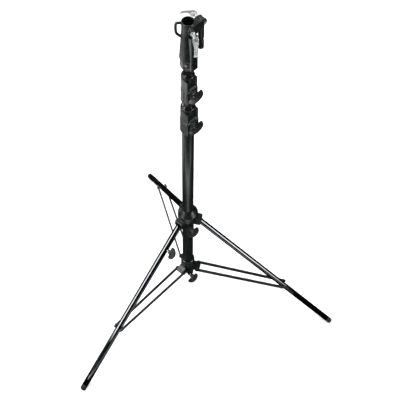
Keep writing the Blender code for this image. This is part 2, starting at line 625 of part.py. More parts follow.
            # knob on the leg's side, its wing between upright and along the leg
            m = Matrix.Rotation(math.radians(az), 4, "Z") @ Matrix.Rotation(lean, 4, "X")
            at = pivot + (m @ Vector((0, 0, -LEVEL_CLAMP)))
            put("levelling_knob", wing_knob(LEVEL_INNER_R + 0.5, 15.0, 20.0, 20.5, 22.0),
                knob_black, at, (0, math.radians(-66), math.radians(az + 90)))
            put("levelling_leg_top_plug", make_leg_plug(LEVEL_R - 1.5 - GAP, LEVEL_R), nylon,
                pivot, tilt)
            put("levelling_brace_bolt", rod("X", 3.0, -LEVEL_R - 0.5, LEVEL_R + 0.5,
                                            (0, 0, -LEG_JOINT), 12), steel, pivot, tilt)
            put("levelling_foot", make_foot(LEVEL_R, LEVEL_INNER_R - 1.5 - GAP), rubber,
                pivot, tilt)
        else:
            put(f"{name}_leg_tube", leg_tube(LEG_R, 1.6, plain_end - FOOT_LENGTH, 0),
                black_chrome, pivot, tilt)
            put(f"{name}_leg_top_plug", make_leg_plug(LEG_R - 1.6 - GAP, LEG_R), nylon, pivot, tilt)
            put(f"{name}_brace_bolt", rod("X", 3.0, -LEG_R - 0.5, LEG_R + 0.5,
                                          (0, 0, -LEG_JOINT), 12), steel, pivot, tilt)
            put(f"{name}_foot", make_foot(LEG_R, LEG_R - 1.6 - GAP), rubber, pivot, tilt)

        # braces either side of the leg
        at = polar(az, *BRACE_PIVOT)
        put(f"{name}_brace_pin", rivet(3.0, 18.0, 5.2, 2.6), steel, at, turn)
        put(f"{name}_brace_a", make_brace(-1), casting, at, turn)
        put(f"{name}_brace_b", make_brace(1), casting, at, turn)

    # head, its lock screws and the stud
    put("head_casting", make_head(), casting)
    put("head_pin", rod("Y", 3.0, -21.6, 21.6, (0, 0, 0), 12), steel,
        (0, 0, HEAD_BOTTOM + 30), (0, 0, math.radians(28)))
    put("socket_lock_screw", lock_screw(SOCKET_R + 0.4, 30.4, 49.0), satin,
        (0, 0, LOCK_Z), (0, 0, math.radians(LOCK_AZ)))
    put("socket_lock_lever", lock_lever(), satin, polar(LOCK_AZ, 49.0, LOCK_Z),
        (0, 0, math.radians(LOCK_AZ)))
    put("socket_lever_pin", rod("X", 1.9, -7.2, 7.2, (0, 0, 0), 10), steel,
        polar(LOCK_AZ, 49.0, LOCK_Z), (0, 0, math.radians(LOCK_AZ)))

    hinge = polar(SPIGOT_AZ, *SPIGOT_PIVOT, SPIGOT_SIDE)
    along = SPIGOT_AZ + 90.0      # the hinge's screw points this way
    ear = SPIGOT_TONGUE + 4.1 + GAP
    put("spigot", make_spigot(), casting, hinge, (0, 0, math.radians(SPIGOT_AZ)))
    put("spigot_nut", lathe([(4.3, ear), (7.4, ear), (7.8, ear + 0.7), (7.8, ear + 2.4),
                             (6.4, ear + 3.6), (4.3, ear + 3.6)], 18,
                            matrix=Matrix.Rotation(-math.pi / 2, 4, "X")),
        nylon, hinge, (0, 0, math.radians(along)))
    put("spigot_lock_screw", lock_screw(-ear - 3.0, ear, LEVER_B_PIN), satin, hinge,
        (0, 0, math.radians(along)))
    knee = polar(SPIGOT_AZ, *SPIGOT_PIVOT, SPIGOT_SIDE + LEVER_B_PIN)
    turn = (math.radians(LEVER_B_DROOP - 90.0), 0, math.radians(along))
    put("spigot_lock_lever", lock_lever(), satin, knee, turn)
    put("spigot_lever_pin", rod("X", 1.9, -7.2, 7.2, (0, 0, 0), 10), steel, knee, turn)


build()
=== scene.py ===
"""Looks of the folding studio stand: finely modelled pieces, finishes, light and camera.

Lengths in the modelling code are millimetres, measured from the column's axis at
floor level; azimuths run from -Y, where the levelling leg points, towards +X.
"""

import math

import bmesh
import bpy
from mathutils import Matrix, Vector


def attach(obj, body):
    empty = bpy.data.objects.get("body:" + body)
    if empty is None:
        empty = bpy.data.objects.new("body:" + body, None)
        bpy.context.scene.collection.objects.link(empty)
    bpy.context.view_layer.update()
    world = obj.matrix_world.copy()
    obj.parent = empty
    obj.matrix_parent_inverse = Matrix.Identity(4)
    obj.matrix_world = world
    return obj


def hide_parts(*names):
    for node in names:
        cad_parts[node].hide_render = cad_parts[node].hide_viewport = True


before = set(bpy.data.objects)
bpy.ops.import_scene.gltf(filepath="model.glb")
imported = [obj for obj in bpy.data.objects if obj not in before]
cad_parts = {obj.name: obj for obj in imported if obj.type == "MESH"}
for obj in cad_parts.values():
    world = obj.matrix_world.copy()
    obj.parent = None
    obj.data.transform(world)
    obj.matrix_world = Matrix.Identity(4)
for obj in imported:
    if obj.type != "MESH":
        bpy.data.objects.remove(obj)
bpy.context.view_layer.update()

MM = 0.001
GAP = 0.3
CY = 0.127852                      # column axis, metres
UP = Matrix(((0, 0, 1, 0), (1, 0, 0, 0), (0, 1, 0, 0), (0, 0, 0, 1)))   # (radius, height) outlines stood up

LEG_AZ = {"levelling": 0.0, "right": 120.0, "rear": 240.0}
LEG_PIVOT = (39.0, 505.1)
LEG_LEAN = 43.66
LEG_JOINT = 418.7
LEG_TOP = 8.5
LEG_R, LEVEL_R, LEVEL_INNER_R = 9.5, 10.0, 8.2
LEVEL_TRAVEL, LEVEL_CLAMP = 70.0, 93.0
FOOT_ROUND, FOOT_LENGTH = 4.0, 22.0
BRACE_PIVOT, BRACE_LENGTH = (35.0, 202.2), 293.0
BRACE_IN, BRACE_OUT = 15.5, 12.9
HUB_R = 23.0
LEG_COLLAR_Z, BRACE_COLLAR_Z = (503.0, 562.0), (176.0, 249.0)
KNOB_AZ, LEG_KNOB_Z, BRACE_KNOB_Z = 65.0, 488.0, 184.0
CLAMP_AZ, CLAMP_H, CLAMP_STEP, CLAMP_SCREW = 88.0, 90.0, 51.0, 32.0
LOWER_CLAMP_Z, UPPER_CLAMP_Z = 977.0, 1108.5
HEAD_BOTTOM, HEAD_TOP = 1236.0, 1406.0
SOCKET_R, SOCKET_DEPTH = 14.3, 78.0
LOCK_AZ, LOCK_Z = 64.0, 1393.0
SPIGOT_AZ, SPIGOT_PIVOT, SPIGOT_SIDE, SPIGOT_TONGUE = 177.0, (34.6, 1394.0), -9.9, 5.5
SPIGOT_R, SPIGOT_LENGTH = 7.95, 101.0
LOOP_AZ = -47.8
LEVER_B_DROOP, LEVER_B_PIN = 39.0, 24.0


# ------------------------------------------------------------------ mesh tools
def finish_mesh(bm, name):
    bmesh.ops.remove_doubles(bm, verts=bm.verts, dist=1e-6)
    bmesh.ops.recalc_face_normals(bm, faces=bm.faces)
    me = bpy.data.meshes.new(name)
    bm.to_mesh(me)
    bm.free()
    return me


def lathe(profile, segments=64, matrix=None):
    bm = bmesh.new()
    rings = []
    for r, z in profile:
        if r <= 1e-9:
            rings.append([bm.verts.new((0.0, 0.0, z * MM))])
        else:
            rings.append([bm.verts.new((r * MM * math.cos(2 * math.pi * i / segments),
                                        r * MM * math.sin(2 * math.pi * i / segments), z * MM))
                          for i in range(segments)])
    pairs = list(zip(rings, rings[1:]))
    if profile[0][0] > 0 and profile[-1][0] > 0:
        pairs.append((rings[-1], rings[0]))
    for a, b in pairs:
        for i in range(segments):
            j = (i + 1) % segments
            if len(a) == 1 and len(b) == 1:
                continue
            if len(a) == 1:
                bm.faces.new((a[0], b[j], b[i]))
            elif len(b) == 1:
                bm.faces.new((a[i], a[j], b[0]))
            else:
                bm.faces.new((a[i], a[j], b[j], b[i]))
    if matrix is not None:
        bmesh.ops.transform(bm, matrix=matrix, verts=bm.verts)
    return finish_mesh(bm, "lathe")


def prism(outline, low, high, matrix=None, bevel=0.0, segments=2):
    bm = bmesh.new()
    a = [bm.verts.new((x * MM, y * MM, low * MM)) for x, y in outline]
    b = [bm.verts.new((x * MM, y * MM, high * MM)) for x, y in outline]
    bottom = bm.faces.new(list(reversed(a)))
    top = bm.faces.new(b)
    n = len(outline)
    for i in range(n):
        bm.faces.new((a[i], a[(i + 1) % n], b[(i + 1) % n], b[i]))
    if bevel:
        rim = [e for e in bm.edges if top in e.link_faces or bottom in e.link_faces]
        bmesh.ops.bevel(bm, geom=rim, offset=bevel * MM, segments=segments, profile=0.5,
                        affect="EDGES", clamp_overlap=True)
    if matrix is not None:
        bmesh.ops.transform(bm, matrix=matrix, verts=bm.verts)
    return finish_mesh(bm, "prism")


def block(x, y, z, matrix=None, bevel=0.0, segments=2):
    bm = bmesh.new()
    bmesh.ops.create_cube(bm, size=1.0)
    for v in bm.verts:
        v.co = Vector(((x[0] + x[1]) / 2 + v.co.x * (x[1] - x[0]),
                       (y[0] + y[1]) / 2 + v.co.y * (y[1] - y[0]),
                       (z[0] + z[1]) / 2 + v.co.z * (z[1] - z[0]))) * MM
    if bevel:
        bmesh.ops.bevel(bm, geom=list(bm.edges), offset=bevel * MM, segments=segments,
                        profile=0.5, affect="EDGES", clamp_overlap=True)
    if matrix is not None:
        bmesh.ops.transform(bm, matrix=matrix, verts=bm.verts)
    return finish_mesh(bm, "block")


def rod(axis, radius, low, high, centre=(0, 0, 0), segments=40, chamfer=0.0):
    if chamfer:
        profile = [(0, low), (radius - chamfer, low), (radius - chamfer * 0.3, low + chamfer * 0.3),
                   (radius, low + chamfer), (radius, high - chamfer),
                   (radius - chamfer * 0.3, high - chamfer * 0.3), (radius - chamfer, high), (0, high)]
    else:
        profile = [(0, low), (radius, low), (radius, high), (0, high)]
    turn = {"Z": Matrix.Identity(4), "X": Matrix.Rotation(math.pi / 2, 4, "Y"),
            "Y": Matrix.Rotation(-math.pi / 2, 4, "X")}[axis]
    return lathe(profile, segments, Matrix.Translation(Vector(centre) * MM) @ turn)


def arc(cx, cy, r, start, end, steps):
    return [(cx + r * math.cos(math.radians(start + (end - start) * i / steps)),
             cy + r * math.sin(math.radians(start + (end - start) * i / steps)))
            for i in range(steps + 1)]


def combine(base, tools, operation):
    temp = [bpy.data.objects.new("base", base)]
    bpy.context.scene.collection.objects.link(temp[0])
    for me in tools:
        ob = bpy.data.objects.new("tool", me)
        bpy.context.scene.collection.objects.link(ob)
        temp.append(ob)
        mod = temp[0].modifiers.new("bool", "BOOLEAN")
        mod.operation, mod.solver, mod.object = operation, "EXACT", ob
    out = bpy.data.meshes.new_from_object(
        temp[0].evaluated_get(bpy.context.evaluated_depsgraph_get()))
    for ob in temp:
        bpy.data.objects.remove(ob, do_unlink=True)
    return out


def union(base, *tools):
    return combine(base, tools, "UNION")


def cut(base, *tools):
    return combine(base, tools, "DIFFERENCE")


def turned(mesh, azimuth):
    out = mesh.copy()
    out.transform(Matrix.Rotation(math.radians(azimuth), 4, "Z"))
    return out


def shifted(mesh, x=0.0, y=0.0, z=0.0):
    out = mesh.copy()
    out.transform(Matrix.Translation(Vector((x, y, z)) * MM))
    return out


def cast(mesh, voxel=0.6, rounds=3, keep=0.5):
    """Softens a solid the way a casting or moulding is: small fillets inside and out."""
    ob = bpy.data.objects.new("casting", mesh)
    bpy.context.scene.collection.objects.link(ob)
    mod = ob.modifiers.new("remesh", "REMESH")
    mod.mode, mod.voxel_size, mod.adaptivity = "VOXEL", voxel * MM, 0.0
    mod = ob.modifiers.new("smooth", "SMOOTH")
    mod.factor, mod.iterations = 0.5, rounds
    if keep < 1.0:
        mod = ob.modifiers.new("decimate", "DECIMATE")
        mod.ratio = keep
    out = bpy.data.meshes.new_from_object(ob.evaluated_get(bpy.context.evaluated_depsgraph_get()))
    bpy.data.objects.remove(ob, do_unlink=True)
    return out


def sweep(path, radius, segments=20):
    """Round bar along smooth (y, z) points in the plane x = 0."""
    bm = bmesh.new()
    pts = [Vector((0, y, z)) * MM for y, z in path]
    rings = []
    for i, p in enumerate(pts):
        t = (pts[min(i + 1, len(pts) - 1)] - pts[max(i - 1, 0)]).normalized()
        n, m = Vector((0, -t.z, t.y)), Vector((1, 0, 0))
        rings.append([bm.verts.new(p + radius * MM * (math.cos(2 * math.pi * k / segments) * n
                                                      + math.sin(2 * math.pi * k / segments) * m))
                      for k in range(segments)])
    for a, b in zip(rings, rings[1:]):
        for k in range(segments):
            j = (k + 1) % segments
            bm.faces.new((a[k], a[j], b[j], b[k]))
    bm.faces.new(list(reversed(rings[0])))
    bm.faces.new(rings[-1])
    return finish_mesh(bm, "sweep")


def rounded_path(points, radius, steps=6):
    """A polyline with its corners rounded."""
    out = [points[0]]
    for a, b, c in zip(points, points[1:], points[2:]):
        va, vb, vc = Vector(a), Vector(b), Vector(c)
        d = min(radius, (vb - va).length * 0.49, (vc - vb).length * 0.49)
        p, q = vb + (va - vb).normalized() * d, vb + (vc - vb).normalized() * d
        for i in range(steps + 1):
            s = i / steps
            out.append(tuple(p * (1 - s) ** 2 + vb * 2 * s * (1 - s) + q * s * s))
    out.append(points[-1])
    return out


def polar(azimuth, radius, height, side=0.0):
    a = math.radians(azimuth)
    return Vector((radius * math.sin(a) + side * math.cos(a),
                   -radius * math.cos(a) + side * math.sin(a), height))


# ------------------------------------------------------------------ finishes
class Finish:
    """Node building for one procedural material."""

    def __init__(self, name, colour, roughness, metallic=0.0, specular=0.5, coat=0.0, coat_rough=0.1):
        self.mat = bpy.data.materials.new(name)
        self.mat.use_nodes = True
        self.mat.diffuse_color = (*colour, 1)
        self.nodes, self.links = self.mat.node_tree.nodes, self.mat.node_tree.links
        self.bsdf = self.nodes["Principled BSDF"]
        self.bsdf.inputs["Base Color"].default_value = (*colour, 1)
        self.bsdf.inputs["Roughness"].default_value = roughness
        self.bsdf.inputs["Metallic"].default_value = metallic
        self.bsdf.inputs["Specular IOR Level"].default_value = specular
        self.bsdf.inputs["Coat Weight"].default_value = coat
        self.bsdf.inputs["Coat Roughness"].default_value = coat_rough
        self.coord = self.nodes.new("ShaderNodeTexCoord").outputs["Object"]
        self.height = None

    def stretch(self, sx, sy, sz):
        node = self.nodes.new("ShaderNodeMapping")
        node.inputs["Scale"].default_value = (sx, sy, sz)
        self.links.new(self.coord, node.inputs["Vector"])
        return node.outputs["Vector"]

    def noise(self, scale, detail=3.0, rough=0.55, vector=None):
        node = self.nodes.new("ShaderNodeTexNoise")
        node.inputs["Scale"].default_value = scale
        node.inputs["Detail"].default_value = detail
        node.inputs["Roughness"].default_value = rough
        self.links.new(vector or self.coord, node.inputs["Vector"])
        return node.outputs["Fac"]

    def spots(self, scale, vector=None):
        node = self.nodes.new("ShaderNodeTexVoronoi")
        node.inputs["Scale"].default_value = scale
        self.links.new(vector or self.coord, node.inputs["Vector"])
        return node.outputs["Distance"]

    def span(self, value, low, high, to_low, to_high):
        node = self.nodes.new("ShaderNodeMapRange")
        for key, number in zip(("From Min", "From Max", "To Min", "To Max"),
                               (low, high, to_low, to_high)):
            node.inputs[key].default_value = number
        self.links.new(value, node.inputs["Value"])
        return node.outputs["Result"]

    def maths(self, kind, a, b):
        node = self.nodes.new("ShaderNodeMath")
        node.operation = kind
        for socket, x in zip(node.inputs, (a, b)):
            if isinstance(x, (int, float)):
                socket.default_value = x
            else:
                self.links.new(x, socket)
        return node.outputs[0]

    def blend(self, factor, a, b):
        node = self.nodes.new("ShaderNodeMix")
        node.data_type = "RGBA"
        for index, x in ((6, a), (7, b)):
            if isinstance(x, tuple):
                node.inputs[index].default_value = (*x, 1)
            else:
                self.links.new(x, node.inputs[index])
        self.links.new(factor, node.inputs[0])
        return node.outputs[2]

    def edges(self, radius=0.9, low=0.02, high=0.2):
        """1 along convex edges of the piece, 0 on its faces."""
        bevel = self.nodes.new("ShaderNodeBevel")
        bevel.samples = 4
        bevel.inputs["Radius"].default_value = radius * MM
        geometry = self.nodes.new("ShaderNodeNewGeometry")
        dot = self.nodes.new("ShaderNodeVectorMath")
        dot.operation = "DOT_PRODUCT"
        self.links.new(bevel.outputs["Normal"], dot.inputs[0])
        self.links.new(geometry.outputs["Normal"], dot.inputs[1])
        return self.span(self.maths("SUBTRACT", 1.0, dot.outputs["Value"]), low, high, 0.0, 1.0)

    def colour(self, value):
        self.links.new(value, self.bsdf.inputs["Base Color"])

    def roughness(self, value):
        self.links.new(value, self.bsdf.inputs["Roughness"])

    def bump(self, value, depth, strength=1.0):
        node = self.nodes.new("ShaderNodeBump")
        node.inputs["Strength"].default_value = strength
        node.inputs["Distance"].default_value = depth * MM
        self.links.new(value, node.inputs["Height"])
        if self.height is not None:
            self.links.new(self.height, node.inputs["Normal"])
        self.height = node.outputs["Normal"]
        self.links.new(self.height, self.bsdf.inputs["Normal"])


def gloss_black_tube():
    """Black chromed tube: mirror gloss, faint drawing lines and a few dull rub marks."""
    f = Finish("black_chrome", (0.085, 0.087, 0.090), 0.07, 1.0, 0.5)
    lines = f.noise(260, 2, 0.6, f.stretch(6.0, 6.0, 0.02))
    rubs = f.noise(34, 4, 0.6, f.stretch(1.0, 1.0, 0.35))
    f.roughness(f.maths("ADD", f.span(lines, 0.35, 0.7, 0.04, 0.10), f.span(rubs, 0.55, 0.78, 0.0, 0.05)))
    f.colour(f.blend(f.span(rubs, 0.5, 0.8, 0.0, 1.0), (0.085, 0.087, 0.090), (0.074, 0.076, 0.078)))
    f.bump(lines, 0.004, 0.5)
    return f.mat


def column_black():
    """Plated steel tube with a soft grey-black sheen and long streaks."""
    f = Finish("column_finish", (0.003, 0.0036, 0.0035), 0.28, 0.0, 0.5)
    streak = f.noise(150, 3, 0.6, f.stretch(5.0, 5.0, 0.03))
    cloud = f.noise(22, 5, 0.6, f.stretch(1.0, 1.0, 0.3))
    f.colour(f.blend(f.span(f.maths("MULTIPLY", streak, cloud), 0.12, 0.42, 0.0, 1.0),
                     (0.0012, 0.0018, 0.0017), (0.0085, 0.0110, 0.0105)))
    f.roughness(f.maths("ADD", f.span(streak, 0.3, 0.7, 0.18, 0.36), f.span(cloud, 0.5, 0.8, 0.0, 0.12)))
    f.bump(streak, 0.012, 0.6)
    return f.mat


def chrome(name="chrome", colour=(0.76, 0.77, 0.78), rough=0.06):
    f = Finish(name, colour, rough, 1.0)
    lines = f.noise(300, 2, 0.5, f.stretch(5.0, 5.0, 0.25))
    haze = f.noise(60, 4, 0.6)
    f.roughness(f.maths("ADD", f.span(lines, 0.35, 0.7, rough * 0.6, rough * 1.7),
                        f.span(haze, 0.52, 0.8, 0.0, 0.14)))
    f.colour(f.blend(f.span(haze, 0.45, 0.8, 0.0, 0.6), colour, tuple(c * 0.72 for c in colour)))
    f.bump(lines, 0.003, 0.4)
    return f.mat


def casting(name="casting_black", colour=(0.0036, 0.0044, 0.0042), wear_and_highlight=0.5, gloss=0.27):
    """Painted die casting: fine shot-blast grain under satin paint; edges painted pale grey where they rub, standing
    for both edge wear and a painted edge highlight.
    """
    f = Finish(name, colour, gloss, 0.0, 0.5, coat=0.10, coat_rough=0.2)
    grain = f.noise(1900, 2, 0.5)
    mottle = f.noise(70, 4, 0.6)
    edge = f.edges(1.2, 0.03, 0.30)
    worn_edge_highlight = f.maths("MULTIPLY", edge, f.span(f.noise(420, 4, 0.7), 0.34, 0.62, 0.0, 1.0))
    base = f.blend(f.span(mottle, 0.3, 0.75, 0.0, 1.0), tuple(c * 0.75 for c in colour),
                   tuple(c * 1.55 for c in colour))
    # pale grey on the rubbed edges: partly edge wear, partly a painted highlight along the edges
    f.colour(f.blend(f.maths("MULTIPLY", worn_edge_highlight, wear_and_highlight), base, (0.30, 0.31, 0.31)))
    f.roughness(f.maths("ADD", f.span(grain, 0.3, 0.7, gloss - 0.06, gloss + 0.10),
                        f.span(mottle, 0.4, 0.7, -0.03, 0.06)))
    f.bump(grain, 0.022, 0.5)
    f.bump(mottle, 0.040, 0.3)
    return f.mat


def plastic(name, colour, gloss, grain_depth=0.02, specular=0.5):
    """Moulded nylon: slight sparkle grain, small scuffs, and convex edges made glossier and painted lighter, the
    lighter colour being a painted edge highlight.
    """
    f = Finish(name, colour, gloss, 0.0, specular)
    grain = f.noise(2600, 2, 0.5)
    scuff = f.noise(150, 5, 0.7, f.stretch(1.0, 2.4, 1.0))
    edge = f.edges(0.8, 0.03, 0.28)
    base = f.blend(f.span(scuff, 0.5, 0.72, 0.0, 1.0), colour, tuple(c * 2.1 + 0.004 for c in colour))
    # convex edges painted lighter: a painted edge highlight; the glossier roughness on them below is real polish
    f.colour(f.blend(f.maths("MULTIPLY", edge, 0.45), base, tuple(c * 3.2 + 0.01 for c in colour)))
    f.roughness(f.maths("SUBTRACT", f.maths("ADD", f.span(grain, 0.3, 0.7, gloss - 0.05, gloss + 0.07),
                                            f.span(scuff, 0.5, 0.75, 0.0, 0.12)),
                        f.maths("MULTIPLY", edge, 0.10)))
    f.bump(grain, grain_depth, 0.5)
    return f.mat


def rubber():
    f = Finish("rubber_black", (0.010, 0.010, 0.0105), 0.62, 0.0, 0.35)
    grain = f.noise(1300, 3, 0.6)
    dust = f.noise(95, 5, 0.65)
    f.colour(f.blend(f.span(dust, 0.48, 0.75, 0.0, 1.0), (0.006, 0.006, 0.0063), (0.030, 0.029, 0.028)))
    f.roughness(f.span(dust, 0.3, 0.75, 0.50, 0.80))
    f.bump(grain, 0.05, 0.6)
    return f.mat


def steel(name, colour, rough, metallic=1.0):
    f = Finish(name, colour, rough, metallic)
    grain = f.noise(900, 3, 0.6)
    tone = f.noise(160, 3, 0.6)
    f.colour(f.blend(f.span(tone, 0.35, 0.7, 0.0, 1.0), tuple(c * 0.7 for c in colour),
                     tuple(min(1.0, c * 1.15) for c in colour)))
    f.roughness(f.span(grain, 0.3, 0.7, rough - 0.07, rough + 0.10))
    f.bump(grain, 0.010, 0.5)
    return f.mat


def floor_finish():
    f = Finish("floor_white", (0.93, 0.93, 0.93), 0.8, 0.0, 0.15)
    tone = f.noise(1.5, 3, 0.5)
    f.colour(f.blend(tone, (0.925, 0.925, 0.925), (0.94, 0.94, 0.94)))
    return f.mat


M = {
    "black_chrome": gloss_black_tube(),
    "column_finish": column_black(),
    "chrome": chrome(),
    "casting_black": casting(),
    "black_steel": steel("black_steel", (0.020, 0.022, 0.022), 0.30, 0.7),
    "satin_nickel": steel("satin_nickel", (0.62, 0.63, 0.63), 0.28, 0.82),
    "brace_black": casting("brace_black", (0.007, 0.0080, 0.0078), 0.18, 0.30),
    "nylon_black": plastic("nylon_black", (0.0030, 0.0031, 0.0033), 0.22, 0.010),
    "knob_black": plastic("knob_black", (0.0060, 0.0066, 0.0066), 0.26, 0.02),
    "rubber_black": rubber(),
    "brass": steel("brass", (0.62, 0.46, 0.20), 0.30),
    "zinc_steel": steel("zinc_steel", (0.62, 0.63, 0.64), 0.26),
}


def put(name, mesh, finish, body, nodes=(), location=(0, 0, 0), rotation=(0, 0, 0), smooth=32.0):
    mesh.name = name
    mesh.materials.clear()
    mesh.materials.append(M[finish])
    mesh.shade_smooth()
    mesh.set_sharp_from_angle(angle=math.radians(smooth))
    ob = bpy.data.objects.new(name, mesh)
    bpy.context.scene.collection.objects.link(ob)
    ob.location = Vector(location) * MM + Vector((0, CY, 0))
    ob.rotation_euler = rotation
    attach(ob, body)
    if nodes:
        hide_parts(*nodes)
    return ob


# ------------------------------------------------------------------ tubes
def tube(radius, wall, low, high, segments=72):
    inner = radius - wall
    return lathe([(radius - 0.5, low), (radius - 0.15, low + 0.15), (radius, low + 0.5),
                  (radius, high - 0.5), (radius - 0.15, high - 0.15), (radius - 0.5, high),
                  (inner + 0.3, high), (inner, high - 0.3), (inner, low + 0.3), (inner + 0.3, low)],
                 segments)


put("column_tube_fine", tube(17.5, 2.0, 175, 997), "column_finish", "column", ["column_tube"])
put("column_foot_cap", lathe([(0, 171.5), (15.6, 171.5), (16.6, 171.9), (17.2, 172.8), (17.2, 174.7),
                              (15.2, 174.7), (15.2, 193), (0, 193)]), "nylon_black", "column",
    ["column_foot_plug"])
put("riser_1_fine", tube(15.0, 1.8, 205, 1128.5), "chrome", "riser_1", ["riser_1_tube"])
put("riser_2_fine", tube(12.5, 1.8, 224, 1296), "chrome", "riser_2", ["riser_2_tube"])
for label, outer, inner, low, length in (("riser_1", 15.3, 12.9, 205.0, 6.0),
                                         ("riser_2", 13.0, 10.4, 224.0, 20.0)):
    put(f"{label}_guide_fine",
        lathe([(0, low - 8), (outer - 0.8, low - 8), (outer, low - 7.2), (outer, low - 5),
               (outer - 0.6, low - 4.6), (outer - 0.6, low - 3.6), (outer, low - 3.2),
               (outer, low - GAP), (inner, low - GAP), (inner, low + length - 0.8),
               (inner - 0.8, low + length), (0, low + length)]),
        "nylon_black", label, [f"{label}_guide"])


# ------------------------------------------------------------------ clamp castings between tubes
def u_outline(radius, face, corner, steps=40):
    pts = arc(0, 0, radius, 0, 180, steps)
    pts += arc(-radius + corner, -face + corner, corner, 180, 270, 6)
    pts += arc(radius - corner, -face + corner, corner, 270, 360, 6)
    return pts


def clamp_casting(tube_r, inner_r, base):
    """Split clamp: U-section casting with a screw pad in front, a ribbed panel on each flank
    and a stepped band below the bush."""
    low_r = tube_r + 4.7
    face = max(18.0, tube_r + 2.9)
    top_z = base + CLAMP_H
    body = prism(u_outline(low_r, face, 2.6), base, base + CLAMP_STEP, bevel=1.0, segments=3)
    top = prism(u_outline(low_r - 1.0, face - 1.0, 2.6), base + CLAMP_STEP - 4, top_z,
                bevel=1.2, segments=3)
    lip = prism(u_outline(low_r + 0.4, face + 0.4, 2.8), base, base + 4.0, bevel=0.9, segments=3)
    pad = prism([(-9.5, -face + 6), (-9.5, -face - 3.0), (-8.4, -face - 4.1), (8.4, -face - 4.1),
                 (9.5, -face - 3.0), (9.5, -face + 6)], base + 12, base + CLAMP_STEP + 1,
                bevel=1.2, segments=3)
    ring = rod("Y", 8.2, -face - 5.2, -face - 1, (0, 0, base + CLAMP_SCREW), chamfer=0.7)
    ribs = [block((sx * (low_r - 0.1) - 0.95, sx * (low_r - 0.1) + 0.95), (y - 0.9, y + 0.9),
                  (base + 7, base + CLAMP_STEP - 4), bevel=0.5, segments=2)
            for sx in (-1, 1) for y in (-face + 4.6, -face + 15.4)]
    solid = union(body, top, lip, pad, ring, *ribs)
    bush_r = inner_r + 2.2
    recess = prism([(-6.6, -face - 6), (6.6, -face - 6), (6.6, -face - 3.4), (-6.6, -face - 3.4)],
                   base + CLAMP_STEP - 9.5, base + CLAMP_STEP - 2.5)
    panel = prism([(-low_r * 0.62, -face - 2), (low_r * 0.62, -face - 2),
                   (low_r * 0.62, -face + 1.7), (-low_r * 0.62, -face + 1.7)],
                  base + CLAMP_STEP + 7, top_z - 7)
    flanks = [block((sx * (low_r + 0.4) - 1.7, sx * (low_r + 0.4) + 1.7), (-face + 5.6, -face + 14.4),
                    (base + 9, base + CLAMP_STEP - 6), bevel=0.4, segments=2) for sx in (-1, 1)]
    slits = [block((-60, 60), (-face + 2.0, -face + 3.0), (base + CLAMP_STEP + 6, top_z - 5))]
    slits = [cut(slits[0], block((-low_r + 2.0, low_r - 2.0), (-60, 60), (base, top_z + 9)))]
    return cut(
        solid,
        lathe([(0, base - 5), (tube_r + GAP + 0.8, base - 5), (tube_r + GAP, base + 1.2),
               (tube_r + GAP, base + 20.5), (inner_r + 0.7, base + 20.5), (inner_r + 0.7, base + 49.0),
               (bush_r + GAP, base + 49.0), (bush_r + GAP, top_z - 1.0), (bush_r + GAP + 1.0, top_z + 0.5),
               (0, top_z + 0.5)]),
        rod("Y", 5.3, -face - 12, -8, (0, 0, base + CLAMP_SCREW)), recess, panel, *flanks, *slits), face


def clamp_bush(inner_r, base, collar):
    """Nylon bush: a thick domed collar with a fine groove, standing on the casting."""
    top = base + CLAMP_H
    outer, rim = inner_r + 2.2, inner_r + collar
    profile = [(inner_r + GAP, base + 50), (outer, base + 50), (outer, top + GAP),
               (rim - 0.6, top + GAP), (rim - 0.15, top + 0.8), (rim, top + 1.6), (rim, top + 6.6),
               (rim - 0.25, top + 7.0), (rim - 0.25, top + 8.0), (rim, top + 8.4)]
    profile += [(inner_r + 1.3 + (rim - inner_r - 1.3) * math.cos(math.radians(a)),
                 top + 9.6 + 5.9 * math.sin(math.radians(a))) for a in range(0, 91, 10)]
    profile += [(inner_r + 0.9, top + 15.3), (inner_r + GAP, top + 14.6)]
    return lathe(profile)


def wing_outline(wing_at, length, half, shrink=0.0, steps=44):
    """Half-moon seen from above, its straight side towards the neck."""
    pts = []
    near, far = wing_at + shrink, wing_at + length - shrink
    half -= shrink
    pts += arc(half - 3.0, -(near + 3.0), 3.0, 90, 0, 5)
    for i in range(steps + 1):
        a = math.pi * i / steps
        pts.append((half * math.cos(a), -(near + 4.0) - (far - near - 4.0) * math.sin(a) ** 0.85))
    pts += arc(-half + 3.0, -(near + 3.0), 3.0, 180, 90, 5)
    clean = [pts[0]]
    for p in pts[1:]:
        if math.hypot(p[0] - clean[-1][0], p[1] - clean[-1][1]) > 0.05:
            clean.append(p)
    return clean


